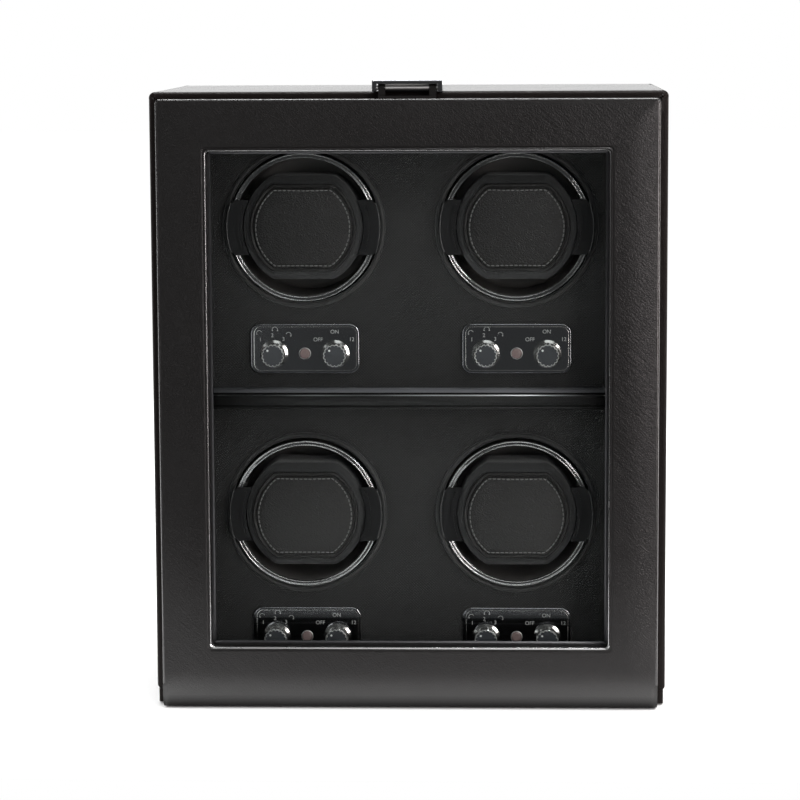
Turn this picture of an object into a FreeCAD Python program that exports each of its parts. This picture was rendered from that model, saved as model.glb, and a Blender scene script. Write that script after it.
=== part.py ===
import FreeCAD, Part
import Sketcher
import math
import os
import re

os.makedirs("parts", exist_ok=True)
doc = FreeCAD.newDocument("WatchWinderBox")
Vector = FreeCAD.Vector

# The box stands on z = 0 with its door towards -Y. All sizes are in millimetres.
SIZES = {
    # wrapped case
    "case_width": 298.0,
    "case_height": 358.0,
    "case_depth": 197.0,
    "side_thickness": 9.0,
    "top_thickness": 10.0,
    "base_thickness": 8.0,
    "base_inset": 1.0,
    "felt_thickness": 1.0,
    "felt_inset": 4.0,
    "back_thickness": 6.0,
    "back_inset": 0.5,
    "edge_round": 2.0,
    "small_round": 1.5,
    # door
    "door_thickness": 15.0,
    "door_inset": 5.0,
    "door_drop": 3.8,
    "door_gap": 0.5,
    "hinge_height": 9.75,
    "hinge_gap": 1.0,
    "hinge_round": 2.0,
    "hinge_strip_depth": 1.2,
    "hinge_strip_height": 2.8,
    "hinge_strip_fit": 0.1,
    "spine_lift": 0.4,
    "spine_roll": 6.5,
    "stile_width": 29.0,
    "top_rail": 29.6,
    "bottom_rail": 26.95,
    "window_corner": 2.5,
    "glass_thickness": 2.5,
    "glass_lap": 8.0,
    "glass_fit": 0.3,
    "bead_thickness": 1.5,
    "bead_setback": 1.0,
    "strip_width": 1.7,
    "strip_depth": 2.2,
    "strip_bevel": 0.8,
    "strip_corner_fit": 0.5,
    # bays
    "lower_bay_share": 0.5012,
    "divider_thickness": 9.0,
    "divider_setback": 1.0,
    "lining_thickness": 2.0,
    "lining_setback": 0.5,
    "fascia_setback": 46.0,
    "fascia_thickness": 5.0,
    "fascia_hole": 45.6,
    # places of the four winding heads
    "column_pitch": 124.6,
    "upper_row_share": 0.5778,
    "lower_row_share": 0.6046,
    # drum
    "cup_radius": 42.5,
    "cup_wall": 1.8,
    "cup_floor": 3.0,
    "cup_depth": 55.0,
    "cup_proud": 2.5,
    "cup_round": 3.0,
    "hub_radius": 9.0,
    "hub_length": 9.5,
    "gear_module": 1.0,
    "gear_thickness": 6.0,
    "gear_backlash": 0.2,
    "rib_thickness": 2.0,
    "rib_length": 38.0,
    "rib_reach": 36.0,
    "rim_depth": 2.5,
    "rim_overhang": 0.9,
    "rim_lip": 0.1,
    "surround_fit": 0.8,
    "surround_width": 3.0,
    "surround_height": 2.0,
    # drum carrier, shoulder screw, motor
    "plate_width": 108.0,
    "plate_above": 52.0,
    "plate_below": 58.0,
    "plate_thickness": 3.0,
    "plate_gap": 0.5,
    "pillar_radius": 4.0,
    "pillar_half": 48.0,
    "pillar_above": 46.0,
    "pillar_below": 52.0,
    "boss_radius": 9.0,
    "boss_length": 7.0,
    "axle_radius": 4.0,
    "axle_fit": 0.05,
    "thread_radius": 3.0,
    "thread_length": 8.0,
    "head_radius": 7.0,
    "head_height": 3.0,
    "head_gap": 0.3,
    "socket_radius": 2.3,
    "gearbox_radius": 13.5,
    "gearbox_length": 18.0,
    "gearbox_boss": 6.0,
    "gearbox_fit": 0.2,
    "motor_radius": 12.0,
    "motor_length": 27.0,
    "shaft_radius": 2.0,
    "shaft_depth": 9.0,
    "pinion_gap": 0.6,
    # cuff
    "pad_radius": 35.3,
    "pad_height": 61.0,
    "pad_depth": 46.0,
    "pad_proud": 10.0,
    "pad_corner": 5.0,
    "pad_front_round": 6.0,
    "pad_back_round": 5.0,
    "crown_radius": 320.0,
    "patch_radius": 28.7,
    "patch_height": 46.2,
    "patch_raise": 1.0,
    "core_height": 24.0,
    "core_depth": 20.0,
    "core_back": 10.0,
    "core_fit": 0.3,
    "arm_thickness": 1.8,
    "arm_height": 27.0,
    "arm_reach": 37.5,
    "arm_length": 46.0,
    "wing_root": 0.4,
    "wing_reach": 45.0,
    "wing_height": 32.0,
    "wing_tip": 24.0,
    "wing_shoulder": 40.5,
    "wing_thickness": 2.4,
    "wing_gap": 0.3,
    "ridge_radius": 37.2,
    "ridge_width": 1.4,
    "ridge_height": 1.2,
    "ridge_sweep": 42.0,
    # control plate
    "control_width": 64.5,
    "control_height": 29.4,
    "control_thickness": 2.0,
    "control_corner": 6.0,
    "control_bevel": 0.8,
    "control_share": 0.4356,
    "cutout_width": 58.0,
    "cutout_height": 23.0,
    "knob_spacing": 36.2,
    "knob_drop": 2.9,
    "knob_skirt": 8.2,
    "knob_skirt_height": 2.5,
    "knob_radius": 6.7,
    "knob_height": 12.0,
    "knob_gap": 0.4,
    "knob_bevel": 0.5,
    "flute_radius": 0.8,
    "dot_radius": 0.7,
    "dot_reach": 4.6,
    "dot_depth": 0.4,
    "spindle_radius": 3.0,
    "spindle_fit": 0.05,
    "spindle_depth": 6.0,
    "spindle_grip": 7.0,
    "led_radius": 3.2,
    "led_drop": 2.9,
    "led_proud": 1.2,
    "led_fit": 0.1,
    "switch_size": 13.0,
    "switch_depth": 9.0,
    "board_width": 62.0,
    "board_height": 26.0,
    "board_thickness": 1.6,
    # clasp
    "clasp_width": 40.0,
    "clasp_length": 33.0,
    "clasp_top": 2.4,
    "clasp_wall": 2.5,
    "clasp_rise": 6.9,
    "clasp_clear": 0.8,
    "clasp_round": 1.0,
    "pin_radius": 1.25,
    "pin_fit": 0.05,
    "pin_setback": 7.5,
    "pin_rise": 2.2,
    "pin_short": 0.3,
    "eye_radius": 3.0,
    "knuckle_radius": 2.1,
    "knuckle_width": 33.0,
    "lug_width": 4.0,
    "bracket_width": 33.0,
    "bracket_length": 11.5,
    "bracket_thickness": 1.5,
    "keeper_width": 33.6,
    "keeper_length": 18.0,
    "keeper_setback": 3.0,
    "keeper_thickness": 2.6,
    "magnet_radius": 6.0,
    "magnet_thickness": 1.5,
    "magnet_setback": 12.0,
    # back
    "screw_radius": 1.6,
    "screw_head": 3.2,
    "screw_length": 20.0,
    "screw_drop": 35.0,
    "screw_low": 40.0,
    "screw_half": 80.0,
    "inlet_radius": 6.0,
    "inlet_length": 14.0,
    "inlet_height": 24.0,
    "inlet_bore": 2.8,
    "inlet_bore_depth": 10.0,
    "inlet_pin": 1.05,
    "inlet_recess": 0.3,
}

# Places that follow from the sizes. A front_ value is measured forward from the middle of the depth.
PLACES = {
    "half_width": "case_width / 2",
    "inner_half": "half_width - side_thickness",
    "front_y": "-case_depth / 2",
    "back_y": "case_depth / 2",
    "door_back": "front_y + door_thickness",
    "rim_y": "door_back + door_gap",
    "rear_y": "back_y - back_thickness",
    "floor_z": "felt_thickness + base_thickness",
    "ceiling_z": "case_height - top_thickness",
    "bay_space": "ceiling_z - floor_z - divider_thickness",
    "divider_height": "floor_z + lower_bay_share * bay_space",
    "divider_top": "divider_height + divider_thickness",
    "lining_y": "rim_y + lining_setback",
    "fascia_y": "front_y + fascia_setback",
    "fascia_back": "fascia_y + fascia_thickness",
    "door_half": "half_width - door_inset",
    "door_bottom": "hinge_height + hinge_gap / 2",
    "door_top": "case_height - door_drop",
    "spine_top": "hinge_height - hinge_gap / 2",
    "window_half": "door_half - stile_width",
    "window_bottom": "door_bottom + bottom_rail",
    "window_top": "door_top - top_rail",
    "glass_half": "window_half + glass_lap",
    "glass_low": "window_bottom - glass_lap",
    "glass_high": "window_top + glass_lap",
    "glass_back": "door_back - bead_thickness",
    "glass_front": "glass_back - glass_thickness",
    "upper_row": "divider_top + upper_row_share * (ceiling_z - divider_top)",
    "lower_row": "floor_z + lower_row_share * (divider_height - floor_z)",
    "control_drop": "control_share * (ceiling_z - divider_top)",
    "front_fascia": "-fascia_y",
    "front_fascia_back": "-fascia_back",
    "front_lip": "front_fascia + cup_proud",
    "front_cup_back": "front_lip - cup_depth",
    "front_plate": "front_cup_back - hub_length - plate_gap",
    "cup_inner": "cup_radius - cup_wall",
    "rim_outer": "cup_radius + rim_overhang",
    "rim_inner": "cup_inner - rim_lip",
    "surround_inner": "fascia_hole - surround_fit",
    "surround_outer": "surround_inner + surround_width",
    "shoulder_length": "hub_length + plate_gap + cup_floor + head_gap",
    "front_wing": "front_lip + rim_depth + wing_gap",
    "pad_front": "pad_proud - rim_depth - wing_gap",
    "pad_back": "pad_front - pad_depth",
    "front_control": "front_fascia + control_thickness",
    "front_board": "front_fascia - switch_depth",
    "knob_half": "knob_spacing / 2",
    "clasp_half": "clasp_width / 2",
    "clasp_high": "case_height + clasp_rise",
    "clasp_under": "clasp_high - clasp_top",
    "clasp_low": "case_height + clasp_clear",
    "pin_y": "front_y + pin_setback",
    "pin_z": "case_height + pin_rise",
    "clasp_front": "pin_y - eye_radius",
    "clasp_rear": "clasp_front + clasp_length",
    "keeper_y": "rim_y + keeper_setback",
    "magnet_y": "keeper_y + magnet_setback",
    "screw_side": "half_width - side_thickness / 2",
    "screw_middle": "divider_height + divider_thickness / 2",
    "screw_high": "case_height - screw_drop",
    "screw_top": "case_height - top_thickness / 2",
    "screw_base": "felt_thickness + base_thickness / 2",
}

GEAR_TEETH = 64
PINION_TEETH = 16
KNOB_FLUTES = 16
PRESSURE_ANGLE = math.radians(25.0)
ADDENDUM = 0.8
DEDENDUM = 1.1
OPEN_TOOTH = 0.5

sheet = doc.addObject("Spreadsheet::Sheet", "Sizes")
for row, (name, size) in enumerate(SIZES.items(), start=1):
    sheet.set(f"A{row}", name)
    sheet.set(f"B{row}", str(size))
    sheet.setAlias(f"B{row}", name)
doc.recompute()


def bind(text):
    """Formula in which every named size points at its cell."""
    def swap(found):
        word = found.group(0)
        if word in SIZES:
            return "Sizes." + word
        if word in PLACES:
            return "(" + bind(PLACES[word]) + ")"
        return word
    return re.sub(r"[A-Za-z_][A-Za-z_0-9]*", swap, text)


def value(text):
    return float(sheet.evalExpression(bind(text)))


def new_body(label):
    body = doc.addObject("PartDesign::Body", label)
    body.Label = label
    return body


def block(body, name, x, y, z, cut=False):
    """Box between two formulas on each axis, added to or cut from a body."""
    kind = "PartDesign::SubtractiveBox" if cut else "PartDesign::AdditiveBox"
    item = body.newObject(kind, name)
    for size, axis, (low, high) in (("Length", "x", x), ("Width", "y", y), ("Height", "z", z)):
        item.setExpression(size, bind(f"({high}) - ({low})"))
        item.setExpression("Placement.Base." + axis, bind(low))
    doc.recompute()
    return item


ROD_TURNS = {
    "x": FreeCAD.Rotation(Vector(0, 1, 0), 90),
    "y": FreeCAD.Rotation(Vector(1, 0, 0), -90),
    "z": FreeCAD.Rotation(),
}


def rod(body, name, axis, span, centre, radius, cut=False):
    """Cylinder along one axis between two formulas, added to or cut from a body."""
    kind = "PartDesign::SubtractiveCylinder" if cut else "PartDesign::AdditiveCylinder"
    item = body.newObject(kind, name)
    item.Placement = FreeCAD.Placement(Vector(), ROD_TURNS[axis])
    item.setExpression("Radius", bind(radius))
    item.setExpression("Height", bind(f"({span[1]}) - ({span[0]})"))
    others = [other for other in "xyz" if other != axis]
    item.setExpression("Placement.Base." + axis, bind(span[0]))
    for other, place in zip(others, centre):
        item.setExpression("Placement.Base." + other, bind(place))
    doc.recompute()
    return item


def new_sketch(body, name, plane):
    sketch = body.newObject("Sketcher::SketchObject", name)
    origin = [item for item in body.Origin.OriginFeatures if item.Role == plane][0]
    sketch.AttachmentSupport = [(origin, "")]
    sketch.MapMode = "FlatFace"
    return sketch


def hold(sketch, label, kind, element, end, formula):
    """Fix one coordinate of a sketch point to a formula."""
    number = sketch.addConstraint(Sketcher.Constraint(kind, -1, 1, element, end, value(formula)))
    sketch.renameConstraint(number, label)
    sketch.setExpression("Constraints." + label, bind(formula))


def outline(body, name, plane, corners):
    """Closed sketch of straight lines with each corner held by formulas."""
    sketch = new_sketch(body, name, plane)
    points = [Vector(value(x), value(y), 0) for x, y in corners]
    count = len(points)
    lines = []
    for index in range(count):
        line = Part.LineSegment(points[index], points[(index + 1) % count])
        lines.append(sketch.addGeometry(line, False))
    for index in range(count):
        following = lines[(index + 1) % count]
        sketch.addConstraint(Sketcher.Constraint("Coincident", lines[index], 2, following, 1))
    for index, (x, y) in enumerate(corners):
        hold(sketch, f"across{index}", "DistanceX", lines[index], 1, x)
        hold(sketch, f"along{index}", "DistanceY", lines[index], 1, y)
    doc.recompute()
    return sketch


def barrel(body, name, radius, height):
    """Sketch of a circle cut off flat above and below."""
    sketch = new_sketch(body, name, "XY_Plane")
    reach = value(radius)
    half = value(height) / 2
    turn = math.asin(half / reach)
    side = reach * math.cos(turn)
    circle = Part.Circle(Vector(), Vector(0, 0, 1), reach)
    right = sketch.addGeometry(Part.ArcOfCircle(circle, -turn, turn), False)
    top = sketch.addGeometry(Part.LineSegment(Vector(side, half, 0), Vector(-side, half, 0)), False)
    left = sketch.addGeometry(Part.ArcOfCircle(circle, math.pi - turn, math.pi + turn), False)
    bottom = sketch.addGeometry(Part.LineSegment(Vector(-side, -half, 0), Vector(side, -half, 0)), False)
    ring = [right, top, left, bottom]
    for index in range(4):
        sketch.addConstraint(Sketcher.Constraint("Coincident", ring[index], 2, ring[(index + 1) % 4], 1))
    for arc in (right, left):
        sketch.addConstraint(Sketcher.Constraint("Coincident", arc, 3, -1, 1))
    for line in (top, bottom):
        sketch.addConstraint(Sketcher.Constraint("Horizontal", line))
    sketch.addConstraint(Sketcher.Constraint("Equal", right, left))
    number = sketch.addConstraint(Sketcher.Constraint("Radius", right, reach))
    sketch.renameConstraint(number, "reach")
    sketch.setExpression("Constraints.reach", bind(radius))
    hold(sketch, "above", "DistanceY", top, 1, f"({height}) / 2")
    hold(sketch, "below", "DistanceY", bottom, 1, f"-({height}) / 2")
    doc.recompute()
    return sketch


def revolve(body, name, sketch, kind="PartDesign::Revolution", angle="360"):
    item = body.newObject(kind, name)
    item.Profile = sketch
    item.ReferenceAxis = (sketch, ["V_Axis"])
    item.setExpression("Angle", bind(angle))
    item.Midplane = angle != "360"
    sketch.Visibility = False
    doc.recompute()
    return item


def extrude(body, name, sketch, length, kind="PartDesign::Pad", back=False):
    item = body.newObject(kind, name)
    item.Profile = sketch
    item.setExpression("Length", bind(length))
    item.Reversed = back
    sketch.Visibility = False
    doc.recompute()
    return item


def repeat_round(body, name, feature, sketch, count):
    item = body.newObject("PartDesign::PolarPattern", name)
    item.Originals = [feature]
    item.Axis = (sketch, ["N_Axis"])
    item.Angle = 360
    item.Occurrences = count
    body.Tip = item
    doc.recompute()
    return item


def edges_at(feature, **where):
    """Names of the edges that lie wholly at the given coordinates."""
    names = []
    for number, edge in enumerate(feature.Shape.Edges, start=1):
        box = edge.BoundBox
        spans = {"x": (box.XMin, box.XMax), "y": (box.YMin, box.YMax), "z": (box.ZMin, box.ZMax)}
        wanted = [(spans[axis], value(place)) for axis, place in where.items()]
        if all(abs(low - at) < 0.01 and abs(high - at) < 0.01 for (low, high), at in wanted):
            names.append(f"Edge{number}")
    return names


def round_off(body, name, names, radius, kind="PartDesign::Fillet"):
    """Round or bevel the named edges of the newest feature of a body."""
    item = body.newObject(kind, name)
    item.Base = (body.Tip if body.Tip != item else item.BaseFeature, names)
    size = "Radius" if kind == "PartDesign::Fillet" else "Size"
    item.setExpression(size, bind(radius))
    doc.recompute()
    return item


def rounded(body, name, radius, *places, kind="PartDesign::Fillet"):
    """Round or bevel the edges found at each of several places."""
    names = []
    for where in places:
        names += edges_at(body.Tip, **where)
    return round_off(body, name, sorted(set(names)), radius, kind)


HEADS = {
    "upper_left": ("-column_pitch / 2", "upper_row"),
    "upper_right": ("column_pitch / 2", "upper_row"),
    "lower_left": ("-column_pitch / 2", "lower_row"),
    "lower_right": ("column_pitch / 2", "lower_row"),
}
FACING = FreeCAD.Rotation(Vector(1, 0, 0), 90)


def face_front(item, front, x, z):
    """Stand a piece drawn face-up so that it faces the door at a given place."""
    item.Placement = FreeCAD.Placement(Vector(), FACING)
    item.setExpression("Placement.Base.x", bind(x))
    item.setExpression("Placement.Base.y", bind(f"-({front})"))
    item.setExpression("Placement.Base.z", bind(z))
    doc.recompute()


def at_heads(label, body, front, shift_x="0", shift_z="0"):
    """The same piece at all four winding heads."""
    copies = {}
    for head, (x, z) in HEADS.items():
        item = body
        if copies:
            item = doc.addObject("App::Link", f"{label}_{head}")
            item.LinkedObject = body
        face_front(item, front, f"{x} + ({shift_x})", f"{z} + ({shift_z})")
        item.Label = f"{label}_{head}"
        copies[head] = item
    return copies


def group(label, items):
    item = doc.addObject("Part::Compound", label)
    item.Links = items
    item.Label = label
    doc.recompute()
    return item


nodes = []

# Case: felt and base board below, two wrapped sides and a wrapped top between them.
felt = new_body("base_felt")
block(felt, "FeltSheet", ("felt_inset - half_width", "half_width - felt_inset"),
      ("door_back + felt_inset", "rear_y - felt_inset"), ("0", "felt_thickness"))
nodes.append(felt)

base = new_body("base_board")
block(base, "BaseBlank", ("base_inset - half_width", "half_width - base_inset"),
      ("door_back", "rear_y"), ("felt_thickness", "floor_z"))
rounded(base, "BaseCorners", "small_round",
        {"x": "base_inset - half_width", "y": "door_back"},
        {"x": "half_width - base_inset", "y": "door_back"})
for number, x in enumerate(("-screw_half", "screw_half")):
    rod(base, f"BasePilot{number}", "y", ("back_y - screw_length", "rear_y"), (x, "screw_base"),
        "screw_radius", cut=True)
nodes.append(base)

SIDES = {
    "left": ("-half_width", "-inner_half", "-half_width"),
    "right": ("inner_half", "half_width", "half_width"),
}
SCREW_ROWS = ("screw_low", "screw_middle", "screw_high")
for side, (low, high, outer) in SIDES.items():
    panel = new_body("side_panel_" + side)
    block(panel, "SideBlank", (low, high), ("rim_y", "rear_y"), ("floor_z", "case_height"))
    rounded(panel, "SideEdges", "edge_round", {"x": outer, "y": "rim_y"},
            {"x": outer, "z": "case_height"}, {"x": outer, "z": "floor_z"})
    for number, z in enumerate(SCREW_ROWS):
        middle = "-screw_side" if side == "left" else "screw_side"
        rod(panel, f"SidePilot{number}", "y", ("back_y - screw_length", "rear_y"), (middle, z),
            "screw_radius", cut=True)
    nodes.append(panel)

top = new_body("top_panel")
block(top, "TopBlank", ("-inner_half", "inner_half"), ("rim_y", "rear_y"), ("ceiling_z", "case_height"))
rounded(top, "TopEdge", "edge_round", {"y": "rim_y", "z": "case_height"})
for number, x in enumerate(("-screw_half", "screw_half")):
    rod(top, f"TopPilot{number}", "y", ("back_y - screw_length", "rear_y"), (x, "screw_top"),
        "screw_radius", cut=True)
nodes.append(top)

# Back panel over the rear edges of the case, with flush screws and the power inlet.
SCREWS = [("-screw_side", z) for z in SCREW_ROWS] + [("screw_side", z) for z in SCREW_ROWS]
SCREWS += [(x, z) for x in ("-screw_half", "screw_half") for z in ("screw_top", "screw_base")]
back = new_body("back_panel")
block(back, "BackBlank", ("back_inset - half_width", "half_width - back_inset"),
      ("rear_y", "back_y"), ("felt_thickness", "case_height - back_inset"))
rounded(back, "BackCorners", "edge_round",
        {"x": "back_inset - half_width", "z": "felt_thickness"},
        {"x": "half_width - back_inset", "z": "felt_thickness"},
        {"x": "back_inset - half_width", "z": "case_height - back_inset"},
        {"x": "half_width - back_inset", "z": "case_height - back_inset"})
rounded(back, "BackEdges", "small_round", {"y": "back_y"})
seats = new_sketch(back, "ScrewSeats", "XZ_Plane")
seats.setExpression("AttachmentOffset.Base.z", bind("-back_y"))
for number, (x, z) in enumerate(SCREWS):
    seat = Part.Circle(Vector(value(x), value(z), 0), Vector(0, 0, 1), value("screw_radius"))
    ring = seats.addGeometry(seat, False)
    sized = seats.addConstraint(Sketcher.Constraint("Radius", ring, value("screw_radius")))
    seats.renameConstraint(sized, f"seat{number}")
    seats.setExpression(f"Constraints.seat{number}", bind("screw_radius"))
    hold(seats, f"across{number}", "DistanceX", ring, 3, x)
    hold(seats, f"along{number}", "DistanceY", ring, 3, z)
doc.recompute()
holes = back.newObject("PartDesign::Hole", "ScrewHoles")
holes.Profile = seats
holes.Reversed = True
holes.ThreadType = "None"
holes.DepthType = "ThroughAll"
holes.HoleCutType = "Countersink"
holes.HoleCutCountersinkAngle = 90
holes.setExpression("Diameter", bind("2 * screw_radius"))
holes.setExpression("HoleCutDiameter", bind("2 * screw_head"))
seats.Visibility = False
doc.recompute()
rod(back, "InletHole", "y", ("rear_y", "back_y"), ("0", "inlet_height"), "inlet_radius", cut=True)
nodes.append(back)

screw = new_body("back_screw")
screw_profile = outline(screw, "ScrewProfile", "XZ_Plane", [
    ("0", "0"), ("screw_head", "0"), ("screw_radius", "screw_radius - screw_head"),
    ("screw_radius", "-screw_length"), ("0", "-screw_length")])
revolve(screw, "ScrewTurned", screw_profile)
screws = []
for number, (x, z) in enumerate(SCREWS):
    item = screw
    if screws:
        item = doc.addObject("App::Link", f"back_screw_{number}")
        item.LinkedObject = screw
    item.Placement = FreeCAD.Placement(Vector(), ROD_TURNS["y"])
    item.setExpression("Placement.Base.x", bind(x))
    item.setExpression("Placement.Base.y", bind("back_y"))
    item.setExpression("Placement.Base.z", bind(z))
    screws.append(item)
nodes.append(group("back_screws", screws))

inlet = new_body("power_inlet")
inlet_profile = outline(inlet, "InletProfile", "XZ_Plane", [
    ("0", "-inlet_length"), ("inlet_radius", "-inlet_length"), ("inlet_radius", "-inlet_recess"),
    ("inlet_bore", "-inlet_recess"), ("inlet_bore", "-inlet_bore_depth"),
    ("inlet_pin", "-inlet_bore_depth"), ("inlet_pin", "-2 * inlet_recess"), ("0", "-2 * inlet_recess")])
revolve(inlet, "InletTurned", inlet_profile)
inlet.Placement = FreeCAD.Placement(Vector(), ROD_TURNS["y"])
inlet.setExpression("Placement.Base.y", bind("back_y"))
inlet.setExpression("Placement.Base.z", bind("inlet_height"))
nodes.append(inlet)

# Bays: divider shelf, linings in front of the fascias, and the two fascias.
divider = new_body("divider")
block(divider, "DividerBlank", ("-inner_half", "inner_half"), ("rim_y + divider_setback", "rear_y"),
      ("divider_height", "divider_top"))
rounded(divider, "DividerNose", "edge_round", {"y": "rim_y + divider_setback", "z": "divider_height"},
        {"y": "rim_y + divider_setback", "z": "divider_top"})
nodes.append(divider)

BAYS = {
    "upper": ("divider_top", "ceiling_z", "upper_row"),
    "lower": ("floor_z", "divider_height", "lower_row"),
}
for bay, (low, high, axis_z) in BAYS.items():
    boards = []
    for side, (outer, inner) in {"left": ("-inner_half", "lining_thickness - inner_half"),
                                 "right": ("inner_half - lining_thickness", "inner_half")}.items():
        wall = new_body(f"{bay}_lining_{side}")
        block(wall, "LiningSheet", (outer, inner), ("lining_y", "fascia_y"), (low, high))
        boards.append(wall)
    flat = new_body(f"{bay}_lining_flat")
    span = ("lining_thickness - inner_half", "inner_half - lining_thickness")
    height = (low, f"{low} + lining_thickness") if bay == "lower" else (f"{high} - lining_thickness", high)
    block(flat, "LiningSheet", span, ("lining_y", "fascia_y"), height)
    boards.append(flat)
    nodes.append(group(f"{bay}_bay_lining", boards))

    fascia = new_body("fascia_" + bay)
    block(fascia, "FasciaBoard", ("-inner_half", "inner_half"), ("fascia_y", "fascia_back"), (low, high))
    for number, x in enumerate(("-column_pitch / 2", "column_pitch / 2")):
        rod(fascia, f"DrumHole{number}", "y", ("fascia_y", "fascia_back"), (x, axis_z),
            "fascia_hole", cut=True)
        level = f"{axis_z} - control_drop"
        block(fascia, f"ControlHole{number}", (f"{x} - cutout_width / 2", f"{x} + cutout_width / 2"),
              ("fascia_y", "fascia_back"), (f"{level} - cutout_height / 2", f"{level} + cutout_height / 2"),
              cut=True)
    nodes.append(fascia)

# Soft surround that lines each drum hole and stands proud of the cloth.
surround = new_body("drum_surround")
surround_profile = outline(surround, "SurroundProfile", "XZ_Plane", [
    ("surround_inner", "-fascia_thickness"), ("fascia_hole", "-fascia_thickness"), ("fascia_hole", "0"),
    ("surround_outer", "0"), ("surround_outer", "surround_height"), ("surround_inner", "surround_height")])
revolve(surround, "SurroundTurned", surround_profile)
rounded(surround, "SurroundNose", "surround_height * 0.7", {"z": "surround_height"})
nodes.append(group("drum_surrounds", list(at_heads("surround", surround, "front_fascia").values())))


def tooth_gap(body, name, teeth, facing):
    """Sketch of one gap between involute teeth, open outwards, centred on a direction in degrees."""
    module = value("gear_module")
    pitch = module * teeth / 2
    base_circle = pitch * math.cos(PRESSURE_ANGLE)
    start = math.tan(PRESSURE_ANGLE) - PRESSURE_ANGLE
    half_tooth = math.pi / (2 * teeth) - value("gear_backlash") / (2 * pitch)

    def half_gap(radius):
        slope = math.acos(min(1.0, base_circle / max(radius, base_circle)))
        return math.pi / teeth - (half_tooth + start - (math.tan(slope) - slope))

    tip = pitch + ADDENDUM * module
    root = pitch - DEDENDUM * module
    flank = [(tip + OPEN_TOOTH, half_gap(tip)), (tip, half_gap(tip)), (pitch, half_gap(pitch)),
             (root, half_gap(root))]
    polar = flank + [(radius, -turn) for radius, turn in reversed(flank)]
    middle = math.radians(facing)
    places = [(radius * math.cos(middle + turn), radius * math.sin(middle + turn)) for radius, turn in polar]
    corners = [(str(round(x, 5)), str(round(y, 5))) for x, y in places]
    return outline(body, name, "XY_Plane", corners)


# Winding drum: cup, hub and gear moulded in one, with ribs that guide the cuff.
drum = new_body("drum")
gear_tip = f"gear_module * {GEAR_TEETH / 2 + ADDENDUM}"
bore = "axle_radius + axle_fit"
drum_profile = outline(drum, "DrumProfile", "XZ_Plane", [
    (bore, "-hub_length"), ("hub_radius", "-hub_length"), ("hub_radius", "-gear_thickness"),
    (gear_tip, "-gear_thickness"), (gear_tip, "0"), ("cup_radius", "0"), ("cup_radius", "cup_depth"),
    ("cup_inner", "cup_depth"), ("cup_inner", "cup_floor"), (bore, "cup_floor")])
revolve(drum, "DrumTurned", drum_profile)
CUP_CORNERS = ((value("cup_inner"), value("cup_floor")), (value("cup_radius"), 0.0))
corner = []
for number, edge in enumerate(drum.Tip.Shape.Edges, start=1):
    for radius, height in CUP_CORNERS:
        if edge.Closed and math.hypot(edge.Curve.Radius - radius, edge.BoundBox.ZMax - height) < 0.01:
            corner.append(f"Edge{number}")
round_off(drum, "CupCorners", corner, "cup_round")
for number, (x, y) in enumerate(((1, 1), (1, -1), (-1, 1), (-1, -1))):
    near = "arm_height / 2 + core_fit"
    far = f"{near} + rib_thickness"
    out = "sqrt(cup_inner ^ 2 - (arm_height / 2 + core_fit + rib_thickness) ^ 2) + cup_wall / 2"
    across = ("rib_reach", out) if x > 0 else (f"-({out})", "-rib_reach")
    upright = (near, far) if y > 0 else (f"-({far})", f"-({near})")
    block(drum, f"CuffRib{number}", across, upright, ("cup_floor / 2", "cup_floor + rib_length"))
gear_gap = tooth_gap(drum, "GearGap", GEAR_TEETH, -90)
gear_cut = extrude(drum, "GearCut", gear_gap, "gear_thickness", "PartDesign::Pocket")
repeat_round(drum, "GearTeeth", gear_cut, gear_gap, GEAR_TEETH)
nodes += at_heads("drum", drum, "front_cup_back").values()

# Bright rim on the lip of each drum.
rim = new_body("rim")
rim_profile = outline(rim, "RimProfile", "XZ_Plane", [
    ("rim_inner", "0"), ("rim_outer", "0"), ("rim_outer", "rim_depth"), ("rim_inner", "rim_depth")])
revolve(rim, "RimTurned", rim_profile)
rounded(rim, "RimNose", "rim_depth * 0.45", {"z": "rim_depth"})
nodes += at_heads("drum_rim", rim, "front_lip").values()

# Drum carrier: plate on four pillars behind the fascia.
centre_distance = f"gear_module * {(GEAR_TEETH + PINION_TEETH) / 2}"
carrier = new_body("drum_carrier")
block(carrier, "CarrierPlate", ("-plate_width / 2", "plate_width / 2"), ("-plate_below", "plate_above"),
      ("-plate_thickness", "0"))
rounded(carrier, "CarrierCorners", "edge_round",
        {"x": "-plate_width / 2", "y": "-plate_below"}, {"x": "plate_width / 2", "y": "-plate_below"},
        {"x": "-plate_width / 2", "y": "plate_above"}, {"x": "plate_width / 2", "y": "plate_above"})
rod(carrier, "CarrierBoss", "z", ("-plate_thickness - boss_length", "-plate_thickness"), ("0", "0"),
    "boss_radius")
for number, (x, y) in enumerate((("-pillar_half", "pillar_above"), ("pillar_half", "pillar_above"),
                                 ("-pillar_half", "-pillar_below"), ("pillar_half", "-pillar_below"))):
    rod(carrier, f"Pillar{number}", "z", ("0", "front_fascia_back - front_plate"), (x, y), "pillar_radius")
rod(carrier, "ThreadHole", "z", ("-plate_thickness - boss_length", "0"), ("0", "0"),
    "thread_radius", cut=True)
rod(carrier, "MotorHole", "z", ("-plate_thickness", "0"), ("0", f"-{centre_distance}"),
    "gearbox_boss + gearbox_fit", cut=True)
nodes.append(group("drum_carriers", list(at_heads("carrier", carrier, "front_plate").values())))

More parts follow.
